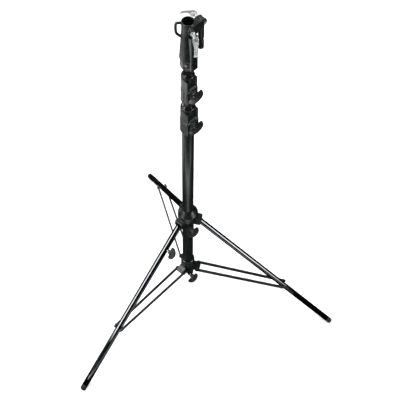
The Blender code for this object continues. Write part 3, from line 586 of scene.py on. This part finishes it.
def wing_knob(tip, neck, wing_at, wing_length=20.0, half=24.5, thick=3.5, stud_r=4.0, neck_r=7.0):
    """Moulded knob: thick half-moon wing with flat faces, a raised ridge where each face meets a
    notched grip round the rim, on a fluted neck."""
    end = wing_at + wing_length
    wing = prism(wing_outline(wing_at, wing_length, half), -thick, thick, bevel=0.7, segments=2)
    face = wing_outline(wing_at - 4.0, wing_length + 1.0, half, 2.6)
    crown = 700.0
    dishes = [cut(prism(face, sign * thick - 2.2, sign * thick + 2.2),
                  rod("Y", crown, -end - 5, 0, (0, 0, sign * (thick - 0.5 - crown)), 720))
              for sign in (1, -1)]
    neck_end = max(wing_at - 1.2, neck + 0.9)
    core = lathe([(0, neck), (neck_r - 0.6, neck), (neck_r, neck + 0.6), (neck_r, neck_end),
                  (6.6, wing_at + 2.5), (5.6, wing_at + 6), (4.3, wing_at + 9.0), (0, wing_at + 9.2)],
                 40, Matrix.Rotation(math.pi / 2, 4, "X"))
    flutes = [rod("Y", 1.0, -wing_at + 0.6, -neck + 1.0,
                  ((neck_r + 0.35) * math.cos(a), 0, (neck_r + 0.35) * math.sin(a)), 14)
              for a in (math.radians(30 * k + 15) for k in range(12))]
    rim = [p for p in wing_outline(wing_at, wing_length, half) if p[1] < -(wing_at + 5.5)]
    notches, gone, last = [], 0.0, rim[0]
    for p in rim[1:]:
        gone += math.hypot(p[0] - last[0], p[1] - last[1])
        last = p
        if gone >= 3.4:
            notches.append(rod("Z", 0.85, -thick + 1.5, thick - 1.5, (p[0], p[1], 0), 12))
            gone = 0.0
    return cast(union(cut(wing, *dishes, *notches), cut(core, *flutes)), 0.42, 1, 0.5)


def stud(tip, end, radius=4.0, pitch=1.25):
    """Threaded clamp stud: rounded tip and turned thread crests."""
    profile = [(0, tip), (radius - 1.1, tip), (radius - 0.5, tip + 0.7)]
    y = tip + 1.2
    while y < end - 1.2:
        profile += [(radius, y), (radius, y + pitch * 0.25), (radius - 0.55, y + pitch * 0.6)]
        y += pitch
    profile += [(radius, end), (0, end)]
    return lathe(profile, 28, Matrix.Rotation(math.pi / 2, 4, "X"))


for label, base, tube_r, inner_r, collar, set_at, body, knob_body in (
        ("lower", LOWER_CLAMP_Z, 17.5, 15.0, 5.7, -13.0, "column", "lower_clamp_knob"),
        ("upper", UPPER_CLAMP_Z, 15.0, 12.5, 5.9, -16.0, "riser_1", "upper_clamp_knob")):
    solid, face = clamp_casting(tube_r, inner_r, base)
    put(f"{label}_clamp_cast", turned(cast(solid, 0.6, 2, 0.5), CLAMP_AZ), "casting_black", body,
        [f"{label}_clamp_casting"])
    put(f"{label}_clamp_ring", clamp_bush(inner_r, base, collar), "nylon_black", body, [f"{label}_clamp_bush"])
    turn = (0, 0, math.radians(CLAMP_AZ))
    shoe = cut(rod("Y", 5.0, -inner_r - 3.4, -inner_r + 1.5, chamfer=0.4),
               rod("Z", inner_r + GAP, -10, 10, segments=72))
    put(f"{label}_clamp_pad", shoe, "brass", body, [f"{label}_clamp_shoe"],
        (0, 0, base + CLAMP_SCREW), turn)
    set_turn = (0, math.radians(set_at), math.radians(CLAMP_AZ))
    put(f"{label}_knob_moulding", wing_knob(inner_r + 3.8, face + 5.5, face + 6.4, 16.8, 25.0, 4.6),
        "knob_black", knob_body, [f"{label}_clamp_knob"], (0, 0, base + CLAMP_SCREW), set_turn)
    put(f"{label}_knob_stud", stud(inner_r + 3.8, face + 5.4), "zinc_steel", knob_body, (),
        (0, 0, base + CLAMP_SCREW), set_turn)


# ------------------------------------------------------------------ collars on the column
def tongue(knob_z, top, *extras):
    """Screw block on a collar's sleeve, with the knob's round seat on its face."""
    face = prism([(-10, -10), (-10, -26.5), (-8, -28.5), (8, -28.5), (10, -26.5), (10, -10)],
                 knob_z - 10.5, top, bevel=1.2, segments=3)
    seat = rod("Y", 8.0, -33.0, -20, (0, 0, knob_z), chamfer=0.9)
    return turned(union(face, seat, *extras), KNOB_AZ)


def collar_bores(z, knob_z):
    return [rod("Z", 17.8, z[0] - 40, z[1] + 10, segments=72),
            turned(rod("Y", 4.4, -40, -12, (0, 0, knob_z)), KNOB_AZ)]


def make_leg_collar():
    """Domed crown over three pairs of cheeks, the screw block between two of them."""
    bottom, top = LEG_COLLAR_Z
    crown = lathe([(10, bottom), (HUB_R, bottom), (HUB_R, bottom + 10), (30.5, bottom + 11.5),
                   (31.7, bottom + 12.6), (32, bottom + 14), (32, top - 23), (31.6, top - 20.6),
                   (30.2, top - 18.2), (20.6, top - 1.6), (19.9, top - 0.5), (19.0, top), (10, top)], 96)
    r, h = LEG_PIVOT
    parts, slots = [], []
    for az in LEG_AZ.values():
        outline = [(-12, h + 19.4), (-42.4, h + 19.4), (-43.9, h + 18.8), (-44.5, h + 17.3)]
        outline += arc(-36, h - 1.1, 8.5, 180, 270, 12) + [(-12, h - 9.6)]
        parts.append(turned(prism(outline, -14, 14, UP, 1.0, 3), az))
        slots.append(turned(block((-10.7, 10.7), (-70, -23.4), (h - 40, h + 15.9)), az))
        slots.append(turned(rod("X", 4.3, -30, 30, (0, -r, h)), az))
    solid = union(crown, tongue(LEG_KNOB_Z, 540.0), *parts)
    return cast(cut(solid, *collar_bores(LEG_COLLAR_Z, LEG_KNOB_Z), *slots), 0.55, 2, 0.5)


def make_brace_collar():
    low, high = BRACE_COLLAR_Z
    hub = lathe([(10, low), (HUB_R - 1.4, low), (HUB_R - 0.4, low + 0.4), (HUB_R, low + 1.4),
                 (HUB_R, high - 5.5), (HUB_R - 0.8, high - 2.4), (HUB_R - 2.6, high - 0.4),
                 (HUB_R - 3.6, high), (10, high)], 96)
    frame_plate = cut(block((-7.5, 7.5), (-29.3, -27), (207, 226), bevel=0.5),
                      block((-5.6, 5.6), (-32, -28.7), (209, 224)))
    r, h = BRACE_PIVOT
    parts, holes = [], []
    for az in LEG_AZ.values():
        outline = [(-12, h + 12), (-26, h + 12)] + arc(-r, h, 8.5, 90, 270, 18) + [(-12, h - 10)]
        parts.append(turned(prism(outline, -13, 13, UP, 1.2, 3), az))
        holes.append(turned(rod("X", 3.3, -30, 30, (0, -r, h)), az))
    solid = union(hub, tongue(BRACE_KNOB_Z, 236.0, frame_plate), *parts)
    return cast(cut(solid, *collar_bores(BRACE_COLLAR_Z, BRACE_KNOB_Z), *holes), 0.55, 2, 0.5)


knob_turn = math.radians(KNOB_AZ)
put("leg_collar_cast", make_leg_collar(), "casting_black", "leg_collar", ["leg_collar"])
put("brace_collar_cast", make_brace_collar(), "casting_black", "column", ["brace_collar"])
for label, body, at, tilt, neck, wing, long, half in (
        ("leg_collar", "leg_collar_knob", LEG_KNOB_Z, -42, 33.3, 41.0, 20.0, 21.5),
        ("brace_collar", "brace_collar_knob", BRACE_KNOB_Z, -50, 35.6, 43.0, 18.0, 21.5)):
    turn = (0, math.radians(tilt), knob_turn)
    put(f"{label}_knob_moulding", wing_knob(18.1, neck, wing, long, half, 4.2), "knob_black", body, [f"{label}_knob"],
        (0, 0, at), turn)
    put(f"{label}_knob_stud", stud(18.1, neck - 0.1), "zinc_steel", body, (), (0, 0, at), turn)
put("brace_washer_fine", lathe([(4.3, 33.3), (7.2, 33.3), (7.6, 33.7), (7.6, 34.9), (7.2, 35.3),
                                (4.3, 35.3)], 48, Matrix.Rotation(math.pi / 2, 4, "X")),
    "chrome", "column", ["brace_knob_washer"], (0, 0, BRACE_KNOB_Z), (0, 0, knob_turn))


# ------------------------------------------------------------------ fasteners
def bolt(shaft, reach, head, thick, hex_socket=2.6):
    """Pin along X with a domed, socketed head at one end and a domed nut at the other."""
    dome = [(head * math.cos(math.radians(a)) ** 0.6, thick * 0.35 + thick * 0.65 * math.sin(math.radians(a)))
            for a in range(0, 90, 12)]
    profile = [(0, -reach - thick)]
    profile += [(r, -reach - z) for r, z in reversed(dome)]
    profile += [(head, -reach), (shaft, -reach), (shaft, reach), (head, reach)]
    profile += [(r, reach + z) for r, z in dome] + [(0, reach + thick)]
    body = lathe(profile, 36, Matrix.Rotation(math.pi / 2, 4, "Y"))
    hexagon = [(hex_socket * math.cos(math.radians(60 * k)), hex_socket * math.sin(math.radians(60 * k)))
               for k in range(6)]
    swing = Matrix.Rotation(math.pi / 2, 4, "Y")
    return cut(body, prism(hexagon, reach + thick * 0.45, reach + thick + 2, swing),
               prism(hexagon, -reach - thick - 2, -reach - thick * 0.45, swing))


# ------------------------------------------------------------------ braces
def make_brace(side):
    """Flat bar with a rolled centre rib, eased edges and a bolt head near its far end."""
    half = 7.0
    outline = arc(0, 0, half, 90, -90, 20) + arc(-BRACE_LENGTH - 3.5, 0, half, 270, 90, 20)
    bar = prism(outline, -2.0, 2.0, UP, 0.9, 3)
    rib_outline = arc(-13, 0, 2.1, 90, -90, 8) + arc(-BRACE_LENGTH + 14, 0, 2.1, 270, 90, 8)
    sign = 1 if side > 0 else -1
    lo, hi = sorted((sign * 1.0, sign * 2.7))
    rib = prism(rib_outline, lo, hi, UP, 0.6, 3)
    lo, hi = sorted((-sign * 1.4, -sign * 3.0))
    groove = prism(arc(-13, 0, 1.8, 90, -90, 8) + arc(-BRACE_LENGTH + 14, 0, 1.8, 270, 90, 8), lo, hi, UP)
    washer = rod("X", 6.6, *sorted((sign * 0.5, sign * 2.8)), (0, -BRACE_LENGTH, 0), chamfer=0.3)
    cap = lathe([(0, 0.5), (5.2, 0.5), (5.2, 3.4), (4.6, 4.4), (3.2, 5.0), (0, 5.0)], 6,
                Matrix.Translation((0, -BRACE_LENGTH * MM, 0)) @ Matrix.Rotation(sign * math.pi / 2, 4, "Y"))
    solid = cut(union(bar, rib, washer, cap), groove, rod("X", 3.3, -10, 10))
    slope = (BRACE_IN - BRACE_OUT) / BRACE_LENGTH
    for v in solid.vertices:
        v.co.x += side * (BRACE_IN * MM + v.co.y * slope)
    return solid


# ------------------------------------------------------------------ legs
def foot_end(radius):
    lean = math.radians(LEG_LEAN)
    return FOOT_ROUND + (LEG_PIVOT[1] - FOOT_ROUND - (radius - FOOT_ROUND) * math.sin(lean)) / math.cos(lean)


def make_foot(radius, plug_r):
    """Rubber tip: rounded sole, two grooves and a plug inside the tube."""
    end = foot_end(radius)
    top = end - FOOT_LENGTH
    corner = [(radius - FOOT_ROUND + FOOT_ROUND * math.sin(math.radians(a)),
               -(end - FOOT_ROUND) - FOOT_ROUND * math.cos(math.radians(a)))
              for a in sorted(list(range(0, 91, 9)) + [LEG_LEAN])]
    sides = []
    for g in (9.5, 13.5):
        sides += [(radius, -(end - g)), (radius - 0.6, -(end - g - 0.5)), (radius - 0.6, -(end - g - 1.1)),
                  (radius, -(end - g - 1.6))]
    return lathe([(0, -end)] + corner + sides
                 + [(radius, -top - 1.1), (radius - 0.5, -top - GAP), (plug_r, -top - GAP),
                    (plug_r, -top + 23), (plug_r - 1, -top + 24), (0, -top + 24)])


def leg_tube(radius, wall, bottom, *others):
    """Tube with cross holes; short bands round each hole keep the long faces plain."""
    inner = radius - wall
    bands = sorted([z + d for z in (-LEG_JOINT,) + others for d in (-6.5, 6.5)] + [-6.5])
    profile = [(radius - 0.5, -bottom), (radius - 0.15, -bottom + 0.15), (radius, -bottom + 0.5)]
    profile += [(radius, z) for z in bands]
    profile += [(radius, LEG_TOP - 0.5), (radius - 0.15, LEG_TOP - 0.15), (radius - 0.5, LEG_TOP),
                (inner + 0.3, LEG_TOP), (inner, LEG_TOP - 0.3)]
    profile += [(inner, z) for z in reversed(bands)] + [(inner, -bottom + 0.3), (inner + 0.3, -bottom)]
    return cut(lathe(profile, 64), rod("X", 4.3, -20, 20), rod("X", 3.3, -20, 20, (0, 0, -LEG_JOINT)))


def leg_plug(inner_r, outer_r):
    return lathe([(0, 5.2), (inner_r, 5.2), (inner_r, LEG_TOP + GAP), (outer_r - 0.3, LEG_TOP + GAP),
                  (outer_r - 0.3, LEG_TOP + 1.0), (outer_r - 0.8, LEG_TOP + 1.8), (outer_r - 2.0, LEG_TOP + 2.1),
                  (0, LEG_TOP + 2.1)])


lean = math.radians(-LEG_LEAN)
for name, az in LEG_AZ.items():
    turn, tilt = (0, 0, math.radians(az)), (lean, 0, math.radians(az))
    pivot, brace_at = polar(az, *LEG_PIVOT), polar(az, *BRACE_PIVOT)
    leg = f"{name}_leg"
    put(f"{name}_pivot_bolt", bolt(4.0, 14.3, 5.2, 2.7, 2.2), "black_steel", "leg_collar",
        [f"{name}_leg_bolt"], pivot, turn)
    if name == "levelling":
        end = foot_end(LEVEL_R)
        outer = cut(leg_tube(LEVEL_R, 1.5, end - FOOT_LENGTH, -LEVEL_CLAMP), rod("X", 4.4, 4, 20, (0, 0, -LEVEL_CLAMP)))
        put("levelling_tube_fine", outer, "black_chrome", leg, ["levelling_leg_outer_tube"], pivot, tilt)
        slot = block((-20, 20), (-3.6, 3.6), (-LEG_JOINT - 4.5, -LEG_JOINT + LEVEL_TRAVEL + 4.5))
        bottom = -(end - FOOT_LENGTH) + 0.6
        put("levelling_inner_fine",
            cut(lathe([(LEVEL_INNER_R, bottom), (LEVEL_INNER_R, -12.4), (LEVEL_INNER_R - 0.4, -12),
                       (LEVEL_INNER_R - 1.5, -12), (LEVEL_INNER_R - 1.5, bottom)]), slot),
            "chrome", "levelling_leg_inner", ["levelling_leg_inner_tube"], pivot, tilt)
        boss = cut(union(rod("X", 7.4, 3, 14.6, (0, 0, -LEVEL_CLAMP), chamfer=1.0),
                         rod("X", 8.0, 5.0, 12.6, (0, 0, -LEVEL_CLAMP), chamfer=1.2)),
                   rod("Z", LEVEL_R + GAP, -LEVEL_CLAMP - 30, -LEVEL_CLAMP + 30, segments=72),
                   rod("X", 4.4, 0, 30, (0, 0, -LEVEL_CLAMP)))
        put("levelling_boss_fine", cast(boss, 0.4, 2, 0.6), "casting_black", leg,
            ["levelling_clamp_boss"], pivot, tilt)
        spin = Matrix.Rotation(math.radians(az), 4, "Z") @ Matrix.Rotation(lean, 4, "X")
        at = pivot + (spin @ Vector((0, 0, -LEVEL_CLAMP)))
        turn_k = (0, math.radians(-66), math.radians(az + 90))
        put("levelling_knob_moulding", wing_knob(LEVEL_INNER_R + 0.5, 15.0, 20.0, 20.5, 22.0),
            "knob_black", "levelling_knob", ["levelling_knob"], at, turn_k)
        put("levelling_knob_stud", stud(LEVEL_INNER_R + 0.5, 14.9), "zinc_steel", "levelling_knob",
            (), at, turn_k)
        put("levelling_top_cap", leg_plug(LEVEL_R - 1.8, LEVEL_R), "nylon_black", leg,
            ["levelling_leg_top_plug"], pivot, tilt)
        put("levelling_brace_bolt_fine", rod("X", 3.0, -10.5, 10.5, (0, 0, -LEG_JOINT), chamfer=0.4),
            "zinc_steel", leg, ["levelling_brace_bolt"], pivot, tilt)
        put("levelling_foot_rubber", make_foot(LEVEL_R, LEVEL_INNER_R - 1.8), "rubber_black",
            "levelling_leg_inner", ["levelling_foot"], pivot, tilt)
    else:
        end = foot_end(LEG_R)
        put(f"{name}_tube_fine", leg_tube(LEG_R, 1.6, end - FOOT_LENGTH), "black_chrome", leg,
            [f"{name}_leg_tube"], pivot, tilt)
        put(f"{name}_top_cap", leg_plug(LEG_R - 1.9, LEG_R), "nylon_black", leg,
            [f"{name}_leg_top_plug"], pivot, tilt)
        put(f"{name}_brace_bolt_fine", rod("X", 3.0, -10.0, 10.0, (0, 0, -LEG_JOINT), chamfer=0.4),
            "zinc_steel", leg, [f"{name}_brace_bolt"], pivot, tilt)
        put(f"{name}_foot_rubber", make_foot(LEG_R, LEG_R - 1.9), "rubber_black", leg,
            [f"{name}_foot"], pivot, tilt)
    put(f"{name}_brace_pivot", bolt(3.0, 18.0, 5.2, 2.6, 2.0), "black_steel", "column",
        [f"{name}_brace_pin"], brace_at, turn)
    put(f"{name}_brace_bar_a", make_brace(-1), "brace_black", f"{name}_braces", [f"{name}_brace_a"],
        brace_at, turn)
    put(f"{name}_brace_bar_b", make_brace(1), "brace_black", f"{name}_braces", [f"{name}_brace_b"],
        brace_at, turn)


# ------------------------------------------------------------------ head
def make_head():
    shape = [(6, HEAD_BOTTOM), (13.2, HEAD_BOTTOM), (15.0, HEAD_BOTTOM + 1.2), (16.8, HEAD_BOTTOM + 3.2),
             (19.4, HEAD_BOTTOM + 8.0), (20.7, HEAD_BOTTOM + 13.0), (21.3, HEAD_BOTTOM + 19.0),
             (21.4, HEAD_BOTTOM + 40.0), (22.6, HEAD_BOTTOM + 41.2), (22.7, HEAD_BOTTOM + 44.5),
             (22.4, HEAD_BOTTOM + 48.0), (20.6, HEAD_TOP - 92.0), (19.3, HEAD_TOP - 72.0),
             (18.4, HEAD_TOP - 56.0), (17.5, HEAD_TOP - 42.0), (17.0, HEAD_TOP - 30.0),
             (16.7, HEAD_TOP - 9.0), (17.4, HEAD_TOP - 7.2), (17.6, HEAD_TOP - 5.6),
             (17.6, HEAD_TOP - 1.4), (17.2, HEAD_TOP - 0.5), (16.6, HEAD_TOP), (6, HEAD_TOP)]
    barrel = lathe(shape, 96)
    pad_face = [(-11.5, -8), (-11.5, -23.0), (-9.6, -25.3), (9.6, -25.3), (11.5, -23.0), (11.5, -8)]
    pad = turned(prism(pad_face, HEAD_BOTTOM + 9, HEAD_TOP - 40, bevel=2.2, segments=3), CLAMP_AZ)
    boss = turned(union(rod("Y", 8.5, -30.0, -15.5, (0, 0, LOCK_Z), chamfer=1.1),
                        rod("Y", 9.6, -23.5, -12.0, (0, 0, LOCK_Z), chamfer=1.5)), LOCK_AZ)
    path = rounded_path([(-8, 1399), (-28.5, 1399.5), (-30.4, 1392), (-30.4, 1369), (-27.2, 1360),
                         (-8, 1345)], 7.0)
    loop = turned(sweep(path, 3.7), LOOP_AZ)
    r, h = SPIGOT_PIVOT
    ear = SPIGOT_TONGUE + 4.1
    outline = [(2, h + 9.5), (-r + 3, h + 9.5)] + arc(-r, h, 9.5, 100, 250, 20) + [(-22, h - 22), (2, h - 30)]
    lug = prism(outline, SPIGOT_SIDE - ear, SPIGOT_SIDE + ear, UP, 1.1, 3)
    slot = block((SPIGOT_SIDE - SPIGOT_TONGUE - GAP, SPIGOT_SIDE + SPIGOT_TONGUE + GAP),
                 (-70, -r + 9.8), (h - 60, h + 30))
    room = block((SPIGOT_SIDE - SPIGOT_R - 0.7, SPIGOT_SIDE + SPIGOT_R + 0.7),
                 (-70, -r + SPIGOT_R + 0.7), (h - 60, h - 10.5))
    solid = union(barrel, pad, boss, loop, turned(lug, SPIGOT_AZ))
    solid = cut(
        solid,
        rod("Z", SOCKET_R, HEAD_TOP - SOCKET_DEPTH, HEAD_TOP + 10, segments=96),
        rod("Z", 12.8, HEAD_BOTTOM - 10, 1296.3, segments=96),
        lathe([(0, HEAD_TOP - 1.4), (SOCKET_R - 0.5, HEAD_TOP - 1.4), (SOCKET_R + 1.6, HEAD_TOP + 1),
               (0, HEAD_TOP + 1)], 96),
        turned(rod("Y", 4.4, -60, -8, (0, 0, LOCK_Z)), LOCK_AZ),
        turned(slot, SPIGOT_AZ), turned(room, SPIGOT_AZ),
        turned(rod("X", 4.4, SPIGOT_SIDE - 20, SPIGOT_SIDE + 20, (0, -r, h)), SPIGOT_AZ),
        turned(rod("Y", 3.3, -40, 40, (0, 0, HEAD_BOTTOM + 30)), 28.0))
    return cast(solid, 0.55, 2, 0.5)


def lock_screw(tip, shoulder, pin):
    shaft = lathe([(0, tip), (3.2, tip), (3.9, tip + 0.8), (3.9, shoulder), (5.9, shoulder),
                   (6.4, shoulder + 0.5), (6.4, shoulder + 2.0), (5.9, shoulder + 2.5),
                   (4.2, shoulder + 3.4), (3.7, shoulder + 4.2), (3.7, pin - 6.0), (3.2, pin - 5.4),
                   (0, pin - 5.4)], 36, Matrix.Rotation(math.pi / 2, 4, "X"))
    outline = [(-shoulder - 3, 4.4), (-shoulder - 3, -4.4)] + arc(-pin, 0, 4.6, 270, 90, 16)
    tongue = prism(outline, -3.5, 3.5, UP, 0.6, 2)
    return cut(union(shaft, tongue), rod("X", 2.2, -10, 10, (0, -pin, 0)))


def lock_lever():
    """Pressed lever: two cheeks round the pin, a dished blade and a flared thumb end."""
    flat = Matrix(((1, 0, 0, 0), (0, 0, 1, 0), (0, 1, 0, 0), (0, 0, 0, 1)))
    cheek_outline = [(-7.4, -15.0), (-7.4, 3.0)] + arc(-2.6, 3.0, 4.6, 180, 30, 8) + [(4.3, 1.0), (3.4, -4.0), (-1.0, -14.0)]
    cheeks = [prism(cheek_outline, lo, hi, UP, 0.5, 2) for lo, hi in ((-6.6, -3.9), (3.9, 6.6))]
    bridge = block((-6.6, 6.6), (-8.2, -5.6), (-18.0, -1.0), bevel=0.9, segments=3)
    blade = prism([(-5.6, -14), (-4.2, -20), (-4.0, -46), (-5.8, -50.5), (-6.0, -54.6), (-4.6, -56.4),
                   (4.6, -56.4), (6.0, -54.6), (5.8, -50.5), (4.0, -46), (4.2, -20), (5.6, -14)],
                  -8.4, -5.0, flat, 0.9, 3)
    dish = prism([(-2.2, -22), (-2.2, -44), (2.2, -44), (2.2, -22)], -9.4, -7.9, flat)
    solid = cut(union(bridge, *cheeks, blade), dish, rod("X", 2.2, -12, 12))
    return cast(solid, 0.35, 2, 0.5)


def make_spigot():
    tongue = prism(arc(0, 0, 8.6, 0, 180, 28) + [(-7.3, -16), (7.3, -16)], -SPIGOT_TONGUE, SPIGOT_TONGUE,
                   UP, 0.7, 2)
    stud_body = lathe([(0, -11.5), (SPIGOT_R - 0.8, -11.5), (SPIGOT_R, -12.3), (SPIGOT_R, -61.6),
                       (SPIGOT_R - 0.3, -62.2), (6.7, -64), (6.6, -64.6), (6.6, -71.4), (6.7, -72),
                       (SPIGOT_R - 0.3, -73.8), (SPIGOT_R, -74.4), (SPIGOT_R, -SPIGOT_LENGTH + 3.4),
                       (SPIGOT_R - 0.5, -SPIGOT_LENGTH + 1.6), (SPIGOT_R - 1.6, -SPIGOT_LENGTH + 0.4),
                       (SPIGOT_R - 3.0, -SPIGOT_LENGTH), (0, -SPIGOT_LENGTH)], 64)
    return cut(union(tongue, stud_body), rod("X", 4.3, -20, 20))


put("head_cast", make_head(), "casting_black", "riser_2", ["head_casting"])
put("head_pin_fine", rod("Y", 3.0, -21.6, 21.6, chamfer=0.5), "zinc_steel", "riser_2", ["head_pin"],
    (0, 0, HEAD_BOTTOM + 30), (0, 0, math.radians(28)))
put("socket_screw_fine", lock_screw(SOCKET_R + 0.4, 30.4, 49.0), "satin_nickel", "socket_lock_screw",
    ["socket_lock_screw"], (0, 0, LOCK_Z), (0, 0, math.radians(LOCK_AZ)))
put("socket_lever_fine", lock_lever(), "satin_nickel", "socket_lock_lever", ["socket_lock_lever"],
    polar(LOCK_AZ, 49.0, LOCK_Z), (0, 0, math.radians(LOCK_AZ)))
put("socket_lever_rivet", rod("X", 1.9, -7.4, 7.4, chamfer=0.4), "zinc_steel", "socket_lock_screw",
    ["socket_lever_pin"], polar(LOCK_AZ, 49.0, LOCK_Z), (0, 0, math.radians(LOCK_AZ)))

hinge = polar(SPIGOT_AZ, *SPIGOT_PIVOT, SPIGOT_SIDE)
along = SPIGOT_AZ + 90.0
ear = SPIGOT_TONGUE + 4.1 + GAP
put("spigot_fine", make_spigot(), "black_steel", "spigot", ["spigot"], hinge,
    (0, 0, math.radians(SPIGOT_AZ)))
put("spigot_nut_fine", lathe([(4.3, ear), (7.4, ear), (7.8, ear + 0.5), (7.8, ear + 2.0), (7.2, ear + 3.0),
                              (6.2, ear + 3.6), (4.3, ear + 3.6)], 48, Matrix.Rotation(-math.pi / 2, 4, "X")),
    "black_steel", "riser_2", ["spigot_nut"], hinge, (0, 0, math.radians(along)))
put("spigot_screw_fine", lock_screw(-ear - 3.0, ear, LEVER_B_PIN), "satin_nickel", "spigot_lock_screw",
    ["spigot_lock_screw"], hinge, (0, 0, math.radians(along)))
knee = polar(SPIGOT_AZ, *SPIGOT_PIVOT, SPIGOT_SIDE + LEVER_B_PIN)
swing = (math.radians(LEVER_B_DROOP - 90.0), 0, math.radians(along))
put("spigot_lever_fine", lock_lever(), "satin_nickel", "spigot_lock_lever", ["spigot_lock_lever"], knee, swing)
put("spigot_lever_rivet", rod("X", 1.9, -7.4, 7.4, chamfer=0.4), "zinc_steel", "spigot_lock_screw",
    ["spigot_lever_pin"], knee, swing)


# ------------------------------------------------------------------ studio
floor_mesh = prism(arc(0, 0, 3300, 0, 360, 120)[:-1], -20.0, 0.0)
floor = bpy.data.objects.new("studio_floor", floor_mesh)
floor_mesh.materials.append(floor_finish())
bpy.context.scene.collection.objects.link(floor)

VIEW_TURN = math.radians(42.33)       # the camera stands this far round from the levelling leg
spin = Matrix.Rotation(VIEW_TURN, 4, "Z")


def area_light(name, position, target, width, height, radiance, reflected=True):
    """Soft box; position and target are in metres in the camera's own bearing."""
    data = bpy.data.lights.new(name, "AREA")
    data.shape, data.size, data.size_y = "RECTANGLE", width, height
    data.energy = radiance * math.pi * width * height
    ob = bpy.data.objects.new(name, data)
    bpy.context.scene.collection.objects.link(ob)
    p, q = spin @ Vector(position), spin @ Vector(target)
    ob.location = p + Vector((0, CY, 0))
    ob.rotation_euler = (q - p).to_track_quat("-Z", "Y").to_euler()
    ob.visible_camera = False
    ob.visible_glossy = reflected
    return ob


# two soft boxes beside the camera, a broad overhead one, a pale wall behind, a high card at the
# rear left, and cards on the floor that the upright faces mirror
area_light("left_box", (-3.1, -2.0, 1.50), (0, 0, 0.4), 1.7, 1.5, 14.0)
area_light("right_box", (3.3, -1.6, 1.10), (0, 0, 0.4), 1.8, 1.35, 11.0)
area_light("overhead", (0.0, -0.6, 4.6), (0, 0, 0), 3.4, 3.4, 7.4, False)
area_light("back_wall", (-0.4, 4.2, 3.1), (0.0, 0.0, 0.9), 5.0, 3.2, 2.6)
area_light("rear_card", (-1.95, 0.55, 4.2), (0.0, 0.0, 1.0), 1.9, 1.7, 8.0)


def floor_card(name, x, y, width, depth, radiance, turn=0.0):
    """Pale card lying on the floor and lighting upwards."""
    ob = area_light(name, (x, y, 0.004), (x, y, 1.0), width, depth, radiance)
    ob.rotation_euler = (math.pi, 0.0, math.radians(turn) + VIEW_TURN)


floor_card("left_near_card", -0.88, 0.0, 0.17, 0.55, 0.95)
floor_card("left_far_card", -1.12, -0.12, 0.30, 1.30, 2.4)
floor_card("left_front_card", -0.86, -0.86, 0.42, 0.18, 2.0, 135.0)
floor_card("rear_left_card", -0.86, 0.54, 0.36, 0.40, 1.5)
floor_card("corner_card", -0.61, -0.67, 0.22, 0.15, 3.8, 47.4)
floor_card("front_card", -0.06, -0.69, 0.98, 0.22, 3.0)
floor_card("front_near_card", 0.03, -0.42, 0.26, 0.26, 0.8)
floor_card("right_card", 0.76, -0.78, 0.36, 0.30, 3.0, -45.0)
floor.visible_glossy = False

world = bpy.data.worlds.new("studio")
bpy.context.scene.world = world
world.use_nodes = True
wn, wl = world.node_tree.nodes, world.node_tree.links
back = wn["Background"]
back.inputs["Color"].default_value = (1, 1, 1, 1)
rays = wn.new("ShaderNodeLightPath")
level = wn.new("ShaderNodeMapRange")
level.inputs["To Min"].default_value = 0.012
level.inputs["To Max"].default_value = 1.0
wl.new(rays.outputs["Is Camera Ray"], level.inputs["Value"])
wl.new(level.outputs["Result"], back.inputs["Strength"])

E = math.radians(57.548)
cam_data = bpy.data.cameras.new("photo_camera")
cam_data.sensor_width, cam_data.lens = 36.0, 985.55 * 36.0 / 400.0
cam_data.shift_x, cam_data.shift_y = 1.12 / 400.0, 0.5 / 400.0
cam_data.clip_end = 60.0
camera = bpy.data.objects.new("photo_camera", cam_data)
bpy.context.scene.collection.objects.link(camera)
look = spin @ Vector((0, math.cos(E), -math.sin(E)))
camera.location = spin @ Vector((0.0338, -1.6276, 3.1666)) + Vector((0, CY, 0))
camera.rotation_mode = "QUATERNION"
camera.rotation_quaternion = look.to_track_quat("-Z", "Y") @ Matrix.Rotation(math.radians(1.0655), 3, "Z").to_quaternion()
bpy.context.scene.camera = camera
bpy.context.scene.view_settings.view_transform = "Standard"
bpy.context.scene.view_settings.look = "None"
